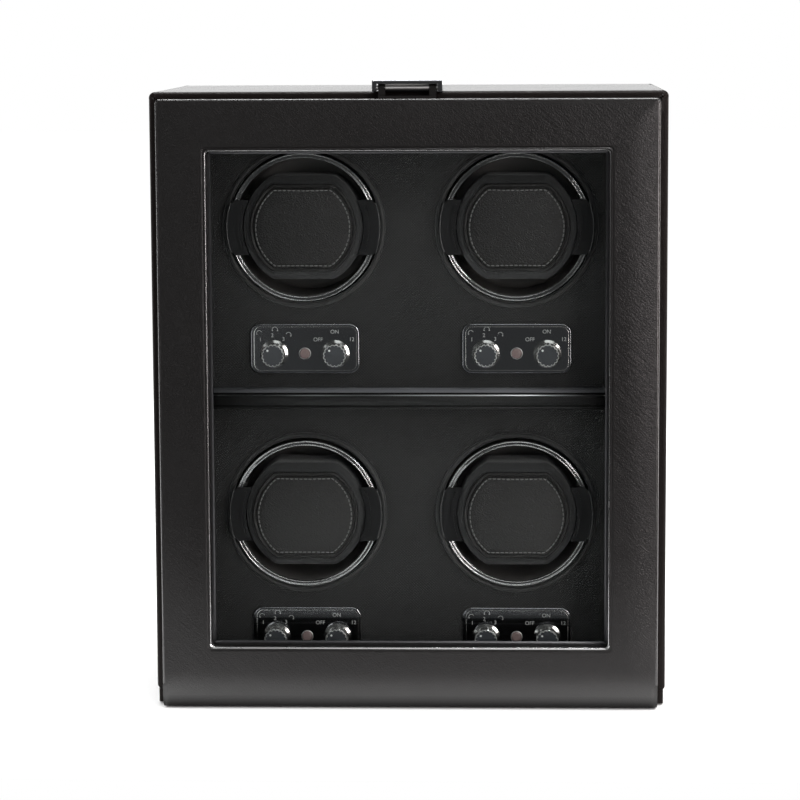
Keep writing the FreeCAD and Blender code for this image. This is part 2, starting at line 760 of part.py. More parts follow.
# Shoulder screw that each drum turns on.
axle = new_body("drum_axle")
axle_profile = outline(axle, "AxleProfile", "XZ_Plane", [
    ("0", "-thread_length"), ("thread_radius", "-thread_length"), ("thread_radius", "0"),
    ("axle_radius", "0"), ("axle_radius", "shoulder_length"), ("head_radius", "shoulder_length"),
    ("head_radius", "shoulder_length + head_height"), ("socket_radius", "shoulder_length + head_height"),
    ("socket_radius", "shoulder_length + head_height / 2"), ("0", "shoulder_length + head_height / 2")])
revolve(axle, "AxleTurned", axle_profile)
nodes.append(group("drum_axles", list(at_heads("axle", axle, "front_plate").values())))

# Gear motor behind the carrier plate and the pinion on its shaft.
motor = new_body("gear_motor")
gearbox_back = "-plate_thickness - gearbox_length"
motor_profile = outline(motor, "MotorProfile", "XZ_Plane", [
    ("shaft_radius + axle_fit", "-gearbox_fit"), ("gearbox_boss", "-gearbox_fit"),
    ("gearbox_boss", "-plate_thickness"), ("gearbox_radius", "-plate_thickness"),
    ("gearbox_radius", gearbox_back), ("motor_radius", gearbox_back),
    ("motor_radius", f"{gearbox_back} - motor_length"),
    ("0", f"{gearbox_back} - motor_length"), ("0", "-plate_thickness - shaft_depth - head_gap"),
    ("shaft_radius + axle_fit", "-plate_thickness - shaft_depth - head_gap")])
revolve(motor, "MotorTurned", motor_profile)
nodes.append(group("gear_motors", list(
    at_heads("motor", motor, "front_plate", shift_z=f"-{centre_distance}").values())))

pinion = new_body("pinion")
pinion_tip = f"gear_module * {PINION_TEETH / 2 + ADDENDUM}"
pinion_back = "-gear_thickness"
pinion_profile = outline(pinion, "PinionProfile", "XZ_Plane", [
    ("0", "-pinion_gap"), (pinion_tip, "-pinion_gap"), (pinion_tip, pinion_back),
    ("shaft_radius", pinion_back),
    ("shaft_radius", "-hub_length - plate_gap - plate_thickness - shaft_depth"),
    ("0", "-hub_length - plate_gap - plate_thickness - shaft_depth")])
revolve(pinion, "PinionTurned", pinion_profile)
pinion_gap = tooth_gap(pinion, "PinionGap", PINION_TEETH, 90 + 180 / PINION_TEETH)
pinion_cut = extrude(pinion, "PinionCut", pinion_gap, "gear_thickness", "PartDesign::Pocket")
repeat_round(pinion, "PinionTeeth", pinion_cut, pinion_gap, PINION_TEETH)
nodes += at_heads("pinion", pinion, "front_cup_back", shift_z=f"-{centre_distance}").values()


def dome(body, name, top):
    """Groove that leaves a shallow crown whose middle is at a given height."""
    sketch = new_sketch(body, name + "Profile", "XZ_Plane")
    reach = "(pad_radius + 1)"
    fall = f"({top}) - crown_radius + sqrt(crown_radius ^ 2 - {reach} ^ 2)"
    high = value(top)
    edge = Vector(value(reach), value(fall), 0)
    half = value(reach) / 2
    sag = high - value("crown_radius") + math.sqrt(value("crown_radius") ** 2 - half ** 2)
    arc = sketch.addGeometry(Part.Arc(Vector(0, high, 0), Vector(half, sag, 0), edge), False)
    above = value(f"({top}) + pad_front_round")
    rise = sketch.addGeometry(Part.LineSegment(edge, Vector(edge.x, above, 0)), False)
    roof = sketch.addGeometry(Part.LineSegment(Vector(edge.x, above, 0), Vector(0, above, 0)), False)
    axis = sketch.addGeometry(Part.LineSegment(Vector(0, above, 0), Vector(0, high, 0)), False)
    outer, inner = (1, 2) if sketch.getPoint(arc, 1).x > half else (2, 1)
    for first, end, second, start in ((arc, outer, rise, 1), (rise, 2, roof, 1), (roof, 2, axis, 1),
                                      (axis, 2, arc, inner)):
        sketch.addConstraint(Sketcher.Constraint("Coincident", first, end, second, start))
    hold(sketch, "edge_across", "DistanceX", rise, 1, reach)
    hold(sketch, "edge_along", "DistanceY", rise, 1, fall)
    hold(sketch, "roof_across", "DistanceX", roof, 1, reach)
    hold(sketch, "roof_along", "DistanceY", roof, 1, f"({top}) + pad_front_round")
    hold(sketch, "axis_across", "DistanceX", axis, 1, "0")
    hold(sketch, "axis_along", "DistanceY", axis, 1, f"({top}) + pad_front_round")
    hold(sketch, "top_across", "DistanceX", axis, 2, "0")
    hold(sketch, "top_along", "DistanceY", axis, 2, top)
    number = sketch.addConstraint(Sketcher.Constraint("Radius", arc, value("crown_radius")))
    sketch.renameConstraint(number, "crown")
    sketch.setExpression("Constraints.crown", bind("crown_radius"))
    doc.recompute()
    return revolve(body, name, sketch, "PartDesign::Groove")


# Watch cuff: crowned pad with a raised front panel, on a plastic frame with a wing at each side.
pad = new_body("cuff_pad")
pad_outline = barrel(pad, "PadOutline", "pad_radius", "pad_height")
pad_outline.setExpression("AttachmentOffset.Base.z", bind("pad_back"))
extrude(pad, "PadFoam", pad_outline, "pad_depth")
upright = [f"Edge{number}" for number, edge in enumerate(pad.Tip.Shape.Edges, start=1)
           if abs(edge.BoundBox.ZLength - value("pad_depth")) < 0.01]
round_off(pad, "PadCorners", upright, "pad_corner")
rounded(pad, "PadFront", "pad_front_round", {"z": "pad_front"})
rounded(pad, "PadBack", "pad_back_round", {"z": "pad_back"})
dome(pad, "PadCrown", "pad_front")
patch_outline = barrel(pad, "PatchOutline", "patch_radius", "patch_height")
patch_outline.setExpression("AttachmentOffset.Base.z", bind("pad_front - pad_front_round"))
extrude(pad, "PatchLeather", patch_outline, "pad_front_round + patch_raise")
dome(pad, "PatchCrown", "pad_front + patch_raise")
block(pad, "CoreSlot", ("-pad_radius", "pad_radius"),
      ("-core_height / 2 - core_fit", "core_height / 2 + core_fit"),
      ("pad_back + core_back - core_fit", "pad_back + core_back + core_depth + core_fit"), cut=True)
nodes += at_heads("cuff_pad", pad, "front_wing").values()

frame = new_body("cuff_frame")
block(frame, "Core", ("-arm_reach", "arm_reach"), ("-core_height / 2", "core_height / 2"),
      ("pad_back + core_back", "pad_back + core_back + core_depth"))
for side, turn in (("Left", -1), ("Right", 1)):
    arm = ("arm_reach - arm_thickness", "arm_reach")
    if turn < 0:
        arm = ("-arm_reach", "arm_thickness - arm_reach")
    block(frame, "Arm" + side, arm, ("-arm_height / 2", "arm_height / 2"),
          ("wing_thickness - arm_length", "0"))
    outer = [("wing_shoulder", "-wing_height / 2")]
    outer += [(f"sqrt(wing_reach ^ 2 - ({part} * wing_tip / 2) ^ 2)", f"{part} * wing_tip / 2")
              for part in (-1, -0.5, 0, 0.5, 1)]
    outer += [("wing_shoulder", "wing_height / 2")]
    root = "pad_radius + wing_root"
    inner = [(f"sqrt(({root}) ^ 2 - ({part} * wing_height / 2) ^ 2)", f"{part} * wing_height / 2")
             for part in (1, 0.5, 0, -0.5, -1)]
    shoulder = outer + inner
    corners = shoulder if turn > 0 else [(f"-({x})", y) for x, y in shoulder]
    wing = outline(frame, f"Wing{side}Outline", "XY_Plane", corners)
    extrude(frame, "Wing" + side, wing, "wing_thickness")
    ridge = [("ridge_radius", "0"), ("ridge_radius + ridge_width", "0"),
             ("ridge_radius + ridge_width", "wing_thickness + ridge_height"),
             ("ridge_radius", "wing_thickness + ridge_height")]
    corners = ridge if turn > 0 else [(f"-({x})", y) for x, y in ridge]
    ridge_profile = outline(frame, f"Ridge{side}Profile", "XZ_Plane", corners)
    revolve(frame, "Ridge" + side, ridge_profile, angle="ridge_sweep")
nodes += at_heads("cuff_frame", frame, "front_wing").values()

# Control plate with its knobs, indicator lens, switches and circuit board.
control = new_body("control_plate")
block(control, "PlateBlank", ("-control_width / 2", "control_width / 2"),
      ("-control_height / 2", "control_height / 2"), ("0", "control_thickness"))
rounded(control, "PlateCorners", "control_corner", *[
    {"x": f"{x} * control_width / 2", "y": f"{y} * control_height / 2"} for x in (-1, 1) for y in (-1, 1)])
rounded(control, "PlateBevel", "control_bevel", {"z": "control_thickness"})
for number, x in enumerate(("-knob_half", "knob_half")):
    rod(control, f"SpindleHole{number}", "z", ("0", "control_thickness"), (x, "-knob_drop"),
        "spindle_radius + knob_gap", cut=True)
rod(control, "LensHole", "z", ("0", "control_thickness"), ("0", "-led_drop"),
    "led_radius + led_fit", cut=True)
nodes.append(group("control_plates", list(
    at_heads("control", control, "front_fascia", shift_z="-control_drop").values())))

lens = new_body("indicator_lens")
rod(lens, "LensBody", "z", ("0", "switch_depth + control_thickness + led_proud"), ("0", "0"), "led_radius")
rounded(lens, "LensDome", "led_proud", {"z": "switch_depth + control_thickness + led_proud"})
nodes.append(group("indicator_lenses", list(
    at_heads("lens", lens, "front_board", shift_z="-control_drop - led_drop").values())))

switch = new_body("rotary_switch")
block(switch, "SwitchCase", ("-switch_size / 2", "switch_size / 2"),
      ("-switch_size / 2", "switch_size / 2"), ("0", "switch_depth"))
rod(switch, "SwitchBore", "z", ("switch_depth - spindle_depth - knob_gap", "switch_depth"), ("0", "0"),
    "spindle_radius + spindle_fit", cut=True)
left_switches = at_heads("switch", switch, "front_board", "-knob_half", "-control_drop - knob_drop")
right_switches = {}
for head, (x, z) in HEADS.items():
    item = doc.addObject("App::Link", f"right_switch_{head}")
    item.LinkedObject = switch
    face_front(item, "front_board", f"{x} + knob_half", f"{z} - control_drop - knob_drop")
    right_switches[head] = item
nodes.append(group("rotary_switches", list(left_switches.values()) + list(right_switches.values())))

board = new_body("circuit_board")
block(board, "BoardSheet", ("-board_width / 2", "board_width / 2"),
      ("-board_height / 2", "board_height / 2"), ("-board_thickness", "0"))
nodes.append(group("circuit_boards", list(
    at_heads("board", board, "front_board", shift_z="-control_drop").values())))

# Fluted knob with its skirt, pointer dot and steel spindle; it rests pointing to the upper left.
knob = new_body("knob_cap")
knob_top = "knob_height"
knob_profile = outline(knob, "KnobProfile", "XZ_Plane", [
    ("0", "knob_height - spindle_grip"), ("0", knob_top), ("knob_radius", knob_top),
    ("knob_radius", "knob_skirt_height"), ("knob_skirt", "knob_skirt_height - knob_bevel"),
    ("knob_skirt", "0"), ("spindle_radius", "0"), ("spindle_radius", "knob_height - spindle_grip")])
revolve(knob, "KnobTurned", knob_profile)
rounded(knob, "KnobBevel", "knob_bevel", {"z": knob_top}, kind="PartDesign::Chamfer")
flute = new_sketch(knob, "FluteOutline", "XY_Plane")
flute.setExpression("AttachmentOffset.Base.z", bind(knob_top))
circle = Part.Circle(Vector(value("knob_radius"), 0, 0), Vector(0, 0, 1), value("flute_radius"))
ring = flute.addGeometry(circle, False)
number = flute.addConstraint(Sketcher.Constraint("Radius", ring, value("flute_radius")))
flute.renameConstraint(number, "flute")
flute.setExpression("Constraints.flute", bind("flute_radius"))
hold(flute, "across", "DistanceX", ring, 3, "knob_radius")
hold(flute, "along", "DistanceY", ring, 3, "0")
flute_cut = extrude(knob, "FluteCut", flute, "knob_height - knob_skirt_height", "PartDesign::Pocket")
repeat_round(knob, "Flutes", flute_cut, flute, KNOB_FLUTES)
rod(knob, "PointerDot", "z", (f"{knob_top} - dot_depth", f"{knob_top} + dot_depth"),
    ("-dot_reach * sqrt(0.5)", "dot_reach * sqrt(0.5)"), "dot_radius", cut=True)
spindle = new_body("knob_spindle")
spindle_span = ("-knob_gap - control_thickness - spindle_depth", "knob_height - spindle_grip")
rod(spindle, "SpindleRod", "z", spindle_span, ("0", "0"), "spindle_radius")
knob_pair = group("knob_pair", [knob, spindle])
for role, side in (("direction", "-knob_half"), ("mode", "knob_half")):
    for head, (x, z) in HEADS.items():
        item = doc.addObject("App::Link", f"{role}_knob_{head}")
        item.LinkedObject = knob_pair
        face_front(item, "front_control + knob_gap", f"{x} + {side}",
                   f"{z} - control_drop - knob_drop")
        item.Label = f"{role}_knob_{head}"
        nodes.append(item)

# Door: wrapped frame, glass, bead and front strip, with the spine below it and the leather fold between them.
spine = new_body("front_spine")
block(spine, "SpineBlank", ("-door_half", "door_half"), ("front_y", "door_back"),
      ("spine_lift", "spine_top"))
rounded(spine, "SpineFold", "hinge_round", {"y": "front_y", "z": "spine_top"})
rounded(spine, "SpineRoll", "spine_roll", {"y": "front_y", "z": "spine_lift"})
nodes.append(spine)

strip = new_body("leather_hinge")
block(strip, "StripBlank", ("-door_half", "door_half"), ("front_y", "front_y + hinge_strip_depth"),
      ("hinge_height - hinge_strip_height / 2", "hinge_height + hinge_strip_height / 2"))
for name, z in (("FoldBelow", "spine_top - hinge_round"), ("FoldAbove", "door_bottom + hinge_round")):
    rod(strip, name, "x", ("-door_half - 1", "door_half + 1"), ("front_y + hinge_round", z),
        "hinge_round + hinge_strip_fit", cut=True)
nodes.append(strip)

door = new_body("door_frame")
block(door, "DoorBlank", ("-door_half", "door_half"), ("front_y", "door_back"), ("door_bottom", "door_top"))
block(door, "Window", ("-window_half", "window_half"), ("front_y", "door_back"),
      ("window_bottom", "window_top"), cut=True)
rounded(door, "WindowCorners", "window_corner", *[
    {"x": f"{x} * window_half", "z": z} for x in (-1, 1) for z in ("window_bottom", "window_top")])
block(door, "GlassRebate", ("-glass_half - glass_fit", "glass_half + glass_fit"),
      ("glass_front", "door_back"), ("glass_low - glass_fit", "glass_high + glass_fit"), cut=True)
rounded(door, "DoorCorners", "hinge_round", *[
    {"x": f"{x} * door_half", "z": z} for x in (-1, 1) for z in ("door_bottom", "door_top")])
rounded(door, "DoorFold", "hinge_round", {"y": "front_y"})
nodes.append(door)

glass = new_body("door_glass")
block(glass, "GlassSheet", ("-glass_half", "glass_half"), ("glass_front", "glass_back"),
      ("glass_low", "glass_high"))
nodes.append(glass)

bead = new_body("glass_bead")
block(bead, "BeadBlank", ("-glass_half", "glass_half"), ("glass_back", "door_back"),
      ("glass_low", "glass_high"))
block(bead, "BeadWindow", ("-window_half - bead_setback", "window_half + bead_setback"),
      ("glass_back", "door_back"), ("window_bottom - bead_setback", "window_top + bead_setback"), cut=True)
nodes.append(bead)

glazing = new_body("glazing_strip")
block(glazing, "StripBlank", ("-window_half", "window_half"), ("glass_front - strip_depth", "glass_front"),
      ("window_bottom", "window_top"))
rounded(glazing, "StripCorners", "window_corner + strip_corner_fit", *[
    {"x": f"{x} * window_half", "z": z} for x in (-1, 1) for z in ("window_bottom", "window_top")])
block(glazing, "StripWindow", ("strip_width - window_half", "window_half - strip_width"),
      ("glass_front - strip_depth", "glass_front"),
      ("window_bottom + strip_width", "window_top - strip_width"), cut=True)
rounded(glazing, "StripBevel", "strip_bevel", *[
    {"y": "glass_front - strip_depth", axis: place} for axis, place in (
        ("x", "strip_width - window_half"), ("x", "window_half - strip_width"),
        ("z", "window_bottom + strip_width"), ("z", "window_top - strip_width"))], kind="PartDesign::Chamfer")
nodes.append(glazing)

# Clasp: bracket and pin on the door, flap with its magnet, keeper on the case.
bracket = new_body("clasp_bracket")
block(bracket, "BracketFoot", ("-bracket_width / 2", "bracket_width / 2"),
      ("door_back - 1 - bracket_length", "door_back - 1"), ("door_top", "door_top + bracket_thickness"))
knuckle_span = ("-knuckle_width / 2", "knuckle_width / 2")
block(bracket, "BracketWeb", knuckle_span, ("pin_y - knuckle_radius", "pin_y + knuckle_radius"),
      ("door_top", "pin_z"))
rod(bracket, "Knuckle", "x", knuckle_span, ("pin_y", "pin_z"), "knuckle_radius")
rod(bracket, "KnuckleBore", "x", knuckle_span, ("pin_y", "pin_z"), "pin_radius", cut=True)
block(bracket, "LugGap", ("lug_width - knuckle_width / 2", "knuckle_width / 2 - lug_width"),
      ("pin_y - knuckle_radius", "pin_y + knuckle_radius"),
      ("door_top + bracket_thickness", "pin_z + knuckle_radius"), cut=True)
nodes.append(bracket)

pin = new_body("clasp_pin")
rod(pin, "PinRod", "x", ("pin_short - clasp_half", "clasp_half - pin_short"), ("pin_y", "pin_z"),
    "pin_radius")
nodes.append(pin)

flap = new_body("clasp_flap")
block(flap, "FlapTop", ("-clasp_half", "clasp_half"), ("clasp_front", "clasp_rear"),
      ("clasp_under", "clasp_high"))
EARS = (("-clasp_half", "clasp_wall - clasp_half"), ("clasp_half - clasp_wall", "clasp_half"))
for number, span in enumerate(EARS):
    block(flap, f"FlapWall{number}", span, ("pin_y", "clasp_rear"), ("clasp_low", "clasp_under"))
    block(flap, f"FlapEar{number}", span, ("clasp_front", "pin_y + eye_radius"),
          ("pin_z", "clasp_under"))
    rod(flap, f"FlapEye{number}", "x", span, ("pin_y", "pin_z"), "eye_radius")
rounded(flap, "FlapEdges", "clasp_round",
        {"y": "clasp_front", "z": "clasp_high"}, {"y": "clasp_rear", "z": "clasp_high"},
        {"x": "-clasp_half", "z": "clasp_high"}, {"x": "clasp_half", "z": "clasp_high"})
rod(flap, "FlapBore", "x", ("-clasp_half", "clasp_half"), ("pin_y", "pin_z"),
    "pin_radius + pin_fit", cut=True)
nodes.append(flap)

magnet = new_body("clasp_magnet")
rod(magnet, "MagnetDisc", "z", ("clasp_under - magnet_thickness", "clasp_under"), ("0", "magnet_y"),
    "magnet_radius")
nodes.append(magnet)

keeper = new_body("clasp_keeper")
block(keeper, "KeeperPlate", ("-keeper_width / 2", "keeper_width / 2"),
      ("keeper_y", "keeper_y + keeper_length"), ("case_height", "case_height + keeper_thickness"))
rounded(keeper, "KeeperEdges", "clasp_round", {"z": "case_height + keeper_thickness"})
nodes.append(keeper)

doc.recompute()
for item in doc.Objects:
    if "Invalid" in item.State or "Error" in item.State:
        raise RuntimeError(f"{item.Label} did not build: {item.State}")
for item in nodes:
    shape = Part.getShape(item)
    if shape.isNull() or not shape.isValid() or not shape.Solids:
        raise RuntimeError(f"{item.Label} has no sound solid")
    shape.exportStep(f"parts/{item.Label}.step")
    print(item.Label, len(shape.Solids), round(shape.Volume, 1))
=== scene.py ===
import math

import bpy
from mathutils import Matrix, Vector


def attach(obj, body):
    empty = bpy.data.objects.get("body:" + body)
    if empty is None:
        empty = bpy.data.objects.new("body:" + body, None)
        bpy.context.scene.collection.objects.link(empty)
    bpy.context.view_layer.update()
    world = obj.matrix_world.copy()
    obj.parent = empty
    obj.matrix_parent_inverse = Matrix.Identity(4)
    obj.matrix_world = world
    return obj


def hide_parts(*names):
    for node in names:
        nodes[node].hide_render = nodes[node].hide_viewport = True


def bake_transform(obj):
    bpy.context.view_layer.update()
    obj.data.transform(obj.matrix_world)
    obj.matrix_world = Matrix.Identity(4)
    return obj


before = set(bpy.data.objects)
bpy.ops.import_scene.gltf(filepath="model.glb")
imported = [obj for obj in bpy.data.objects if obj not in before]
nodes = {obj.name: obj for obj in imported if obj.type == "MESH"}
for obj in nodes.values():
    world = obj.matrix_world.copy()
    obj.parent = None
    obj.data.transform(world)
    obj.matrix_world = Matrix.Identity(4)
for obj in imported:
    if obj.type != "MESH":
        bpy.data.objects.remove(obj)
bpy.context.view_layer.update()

# Wrapped case: two sides and a top of board, covered with one width of coated leather that is drawn
# over the front rim and glued inside. The corners are folded, so they swell a little.
MM = 0.001
case_half = 149.0
case_floor = 9.0
case_top = 358.0
case_rear = 92.5
rim_front = -83.0
rim_round = 2.0
rim_inner = -8.6
inner_round = 1.2
corner_round = 4.0
corner_swell = 0.35
foot_rises = (0.0, 0.15, 0.5, 1.0, 1.6, 2.2)
side_steps = 40
corner_steps = 12
top_steps = 36
depth_steps = 6


def new_mesh(name, points, faces, smooth=True):
    """Mesh object from points in millimetres."""
    mesh = bpy.data.meshes.new(name)
    mesh.from_pydata([tuple(c * MM for c in p) for p in points], [], faces)
    mesh.validate()
    mesh.update()
    if smooth:
        for polygon in mesh.polygons:
            polygon.use_smooth = True
    item = bpy.data.objects.new(name, mesh)
    bpy.context.scene.collection.objects.link(item)
    return item


def sweep(name, rings, close_path=False, caps=False):
    """Skin over a list of closed rings that have equal numbers of points."""
    count = len(rings[0])
    points = [p for ring in rings for p in ring]
    faces = []
    for i in range(len(rings) if close_path else len(rings) - 1):
        j = (i + 1) % len(rings)
        for k in range(count):
            m = (k + 1) % count
            faces.append((i * count + k, j * count + k, j * count + m, i * count + m))
    if caps:
        for ring, flip in ((0, True), (len(rings) - 1, False)):
            centre = len(points)
            points.append(tuple(sum(p[c] for p in rings[ring]) / count for c in range(3)))
            for k in range(count):
                a, b = ring * count + k, ring * count + (k + 1) % count
                faces.append((centre, a, b) if flip else (a, centre, b))
    return new_mesh(name, points, faces)


def arc(cx, cy, radius, start, stop, steps):
    turns = [math.radians(start + (stop - start) * i / steps) for i in range(steps + 1)]
    return [(cx + radius * math.cos(t), cy + radius * math.sin(t)) for t in turns]


def add_node(tree, kind, values=None, **settings):
    """New shader node, with its settings and the constant values of its sockets."""
    node = tree.nodes.new(kind)
    for key, value in settings.items():
        setattr(node, key, value)
    for socket, value in (values or {}).items():
        node.inputs[socket].default_value = value
    return node


def join(tree, source, output, target, socket):
    tree.links.new(source.outputs[output], target.inputs[socket])


def new_material(name, colour, roughness, metallic=0.0, specular=0.5, coat=0.0, sheen=0.0, clear=0.0):
    material = bpy.data.materials.new(name)
    material.use_nodes = True
    shader = material.node_tree.nodes["Principled BSDF"]
    shader.inputs["Base Color"].default_value = (*colour, 1)
    shader.inputs["Roughness"].default_value = roughness
    shader.inputs["Metallic"].default_value = metallic
    shader.inputs["Specular IOR Level"].default_value = specular
    shader.inputs["Coat Weight"].default_value = coat
    shader.inputs["Sheen Weight"].default_value = sheen
    shader.inputs["Transmission Weight"].default_value = clear
    return material, material.node_tree, shader


def leather(name, colour, roughness, cell, depth, specular=0.5, streak=0.0, taut=None, patchy=1.0):
    """Coated leather: pebble grain with its cell in millimetres, pores, drawn streaks and uneven sheen."""
    material, tree, shader = new_material(name, colour, roughness, specular=specular)
    place = add_node(tree, "ShaderNodeTexCoord")
    warp = add_node(tree, "ShaderNodeTexNoise", {"Scale": 180.0, "Detail": 2.0})
    join(tree, place, "Object", warp, "Vector")
    shift = add_node(tree, "ShaderNodeVectorMath", {1: (0.0016, 0.0016, 0.0016)}, operation="MULTIPLY_ADD")
    join(tree, warp, "Color", shift, 0)
    join(tree, place, "Object", shift, 2)
    lie = add_node(tree, "ShaderNodeMapping",
                   {"Rotation": (0.3, math.radians(-38), 0.2), "Scale": (0.7, 1.0, 1.0)})
    join(tree, shift, "Vector", lie, "Vector")
    pebble = add_node(tree, "ShaderNodeTexVoronoi", feature="DISTANCE_TO_EDGE")
    pebble.inputs["Scale"].default_value = 1.0 / (cell * MM)
    join(tree, lie, "Vector", pebble, "Vector")
    crease = add_node(tree, "ShaderNodeMapRange", {"From Max": 0.28})
    join(tree, pebble, "Distance", crease, "Value")
    pores = add_node(tree, "ShaderNodeTexNoise", {"Scale": 2600.0, "Detail": 3.0})
    join(tree, place, "Object", pores, "Vector")
    height = add_node(tree, "ShaderNodeMath", {1: 0.35}, operation="MULTIPLY_ADD")
    join(tree, pores, "Fac", height, 0)
    join(tree, crease, "Result", height, 2)
    draw = add_node(tree, "ShaderNodeMapping", vector_type="TEXTURE")
    draw.inputs["Rotation"].default_value = (0, math.radians(42), 0)
    draw.inputs["Scale"].default_value = (0.008, 0.004, 0.001)
    join(tree, shift, "Vector", draw, "Vector")
    strand = add_node(tree, "ShaderNodeTexNoise", {"Scale": 1.0, "Detail": 3.0})
    join(tree, draw, "Vector", strand, "Vector")
    drawn = add_node(tree, "ShaderNodeMath", {1: streak}, operation="MULTIPLY_ADD")
    join(tree, strand, "Fac", drawn, 0)
    join(tree, height, "Value", drawn, 2)
    bump = add_node(tree, "ShaderNodeBump", {"Strength": depth, "Distance": 0.0003})
    join(tree, drawn, "Value", bump, "Height")
    join(tree, bump, "Normal", shader, "Normal")
    slow = add_node(tree, "ShaderNodeTexNoise", {"Scale": 22.0, "Detail": 4.0})
    join(tree, place, "Object", slow, "Vector")
    sheen = add_node(tree, "ShaderNodeMapRange",
                     {"To Min": roughness - 0.07 * patchy, "To Max": roughness + 0.09 * patchy})
    join(tree, slow, "Fac", sheen, "Value")
    join(tree, sheen, "Result", shader, "Roughness")
    if taut:
        split = add_node(tree, "ShaderNodeSeparateXYZ")
        join(tree, place, "Object", split, "Vector")
        limits = dict(zip(("From Min", "From Max", "To Min", "To Max"), taut))
        pull = add_node(tree, "ShaderNodeMapRange", limits, interpolation_type="SMOOTHSTEP")
        join(tree, split, "Z", pull, "Value")
        join(tree, pull, "Result", shader, "Specular IOR Level")
    return material


case_leather = leather("case_leather", (0.0042, 0.0034, 0.0033), 0.31, 1.0, 0.24, specular=0.42, streak=2.4,
                       taut=(0.009, 0.024, 0.85, 0.42))
rim_leather = leather("rim_leather", (0.0062, 0.0038, 0.0032), 0.4, 1.2, 0.3, specular=0.13, streak=1.0)
top_leather = leather("top_leather", (0.0052, 0.0044, 0.0043), 0.26, 1.2, 0.05, patchy=0.25)


def case_outline():
    """Points and outward directions from the bottom left, over the top, to the bottom right."""
    reach = case_half - corner_round
    high = case_top - corner_round
    heights = [case_floor + rise for rise in foot_rises]
    heights += [case_floor + (high - case_floor) * i / side_steps for i in range(1, side_steps)]
    path = [((-case_half, z), (-1.0, 0.0)) for z in heights]
    for i in range(corner_steps + 1):
        turn = math.radians(180 - 90 * i / corner_steps)
        bulge = corner_round + corner_swell * math.sin(math.radians(180 * i / corner_steps))
        away = (math.cos(turn), math.sin(turn))
        path.append(((-reach + bulge * away[0], high + bulge * away[1]), away))
    across = [((-reach + 2 * reach * i / top_steps, case_top), (0.0, 1.0)) for i in range(1, top_steps)]
    mirrored = [((-x, z), (-nx, nz)) for (x, z), (nx, nz) in reversed(path)]
    return path + across + mirrored


def rim_section(shrink):
    """Depth and outward offset round the wrapped board: inner face, rim, outer face, rear."""
    points = [(case_rear, rim_inner), (rim_front + inner_round, rim_inner)]
    points += [(rim_front + inner_round + inner_round * b, rim_inner + inner_round + inner_round * a)
               for a, b in arc(0, 0, 1, 180, 270, 4)][1:]
    points += [(rim_front + rim_round + rim_round * b, rim_round * a - rim_round - shrink)
               for a, b in arc(0, 0, 1, -90, 0, 8)]
    points += [(rim_front + (case_rear - rim_front) * i / depth_steps, -shrink)
               for i in range(1, depth_steps + 1)]
    return points


case_rings = []
for (x, z), (nx, nz) in case_outline():
    low = max(0.0, rim_round - (z - case_floor)) if abs(nx) > 0.99 else 0.0
    shrink = rim_round - math.sqrt(max(0.0, rim_round ** 2 - low ** 2))
    case_rings.append([(x + nx * d, y, z + nz * d) for y, d in rim_section(shrink)])
case_wrap = sweep("case_wrap", case_rings, caps=True)
case_wrap.data.materials.append(rim_leather)
case_wrap.data.materials.append(top_leather)
for polygon in case_wrap.data.polygons:
    if polygon.normal.z > 0.99:
        polygon.material_index = 1
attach(case_wrap, "case")
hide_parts("side_panel_left", "side_panel_right", "top_panel")


# Base board and back panel: board covered with the same leather. The back is screwed on over the
# rear edges with steel countersunk screws, and wool felt is glued under the base.
def dress(name, material):
    """Give a CAD piece its material."""
    nodes[name].data.materials.clear()
    nodes[name].data.materials.append(material)


def surface(name, colour, roughness, grain, depth, spread, **finish):
    """Material with slight unevenness of surface and sheen, as mouldings, platings and cloths have."""
    material, tree, shader = new_material(name, colour, roughness, **finish)
    place = add_node(tree, "ShaderNodeTexCoord")
    noise = add_node(tree, "ShaderNodeTexNoise", {"Scale": grain, "Detail": 5.0})
    join(tree, place, "Object", noise, "Vector")
    bump = add_node(tree, "ShaderNodeBump", {"Strength": depth, "Distance": 0.0002})
    join(tree, noise, "Fac", bump, "Height")
    join(tree, bump, "Normal", shader, "Normal")
    cloud = add_node(tree, "ShaderNodeTexNoise", {"Scale": grain / 20, "Detail": 3.0})
    join(tree, place, "Object", cloud, "Vector")
    sheen = add_node(tree, "ShaderNodeMapRange",
                     {"To Min": max(0.02, roughness - spread), "To Max": roughness + spread})
    join(tree, cloud, "Fac", sheen, "Value")
    join(tree, sheen, "Result", shader, "Roughness")
    return material


steel = surface("steel", (0.42, 0.42, 0.43), 0.35, 800.0, 0.1, 0.08, metallic=1.0)
dress("base_board", rim_leather)
dress("back_panel", case_leather)
dress("back_screws", steel)
dress("base_felt", surface("felt", (0.02, 0.02, 0.021), 0.95, 2400.0, 0.8, 0.05, sheen=0.3))

# Door frame: a board frame with a thin padding, wrapped in coated leather. The leather has a pressed
# outer edge and turns into the window over a raised, rounded lip, whose crest is bright metal as a painted
# highlight;
# at the foot of the window the bright metal runs down the lip's upward slope as painted light. It is glued
# down.
door_half = 144.0
door_low = 10.25
door_high = 354.2
door_front = -98.5
door_back = -83.5
door_corner = 2.2
door_crown = 0.12
window_half = 115.0
window_low = 37.2
window_high = 324.6
window_corner = 2.4
glass_front = -87.5
glass_rebate = 8.2
glass_gap = 0.05
back_gap = 0.01
fold_round = 1.3
lip_round = 0.8
lip_rise = 0.35
lip_groove = 1.0
lip_highlight = (0.65, 0.3)
sill_light = (1.1, 0.12)
sill_light_top = 41.5
edge_drop = 1.5
edge_run = 19.0
edge_rings = (2, 9)
edge_low = 15.5
foot_start = 28.0
foot_curve = 0.0022
foot_flat = 16.0
foot_fade = 24.0


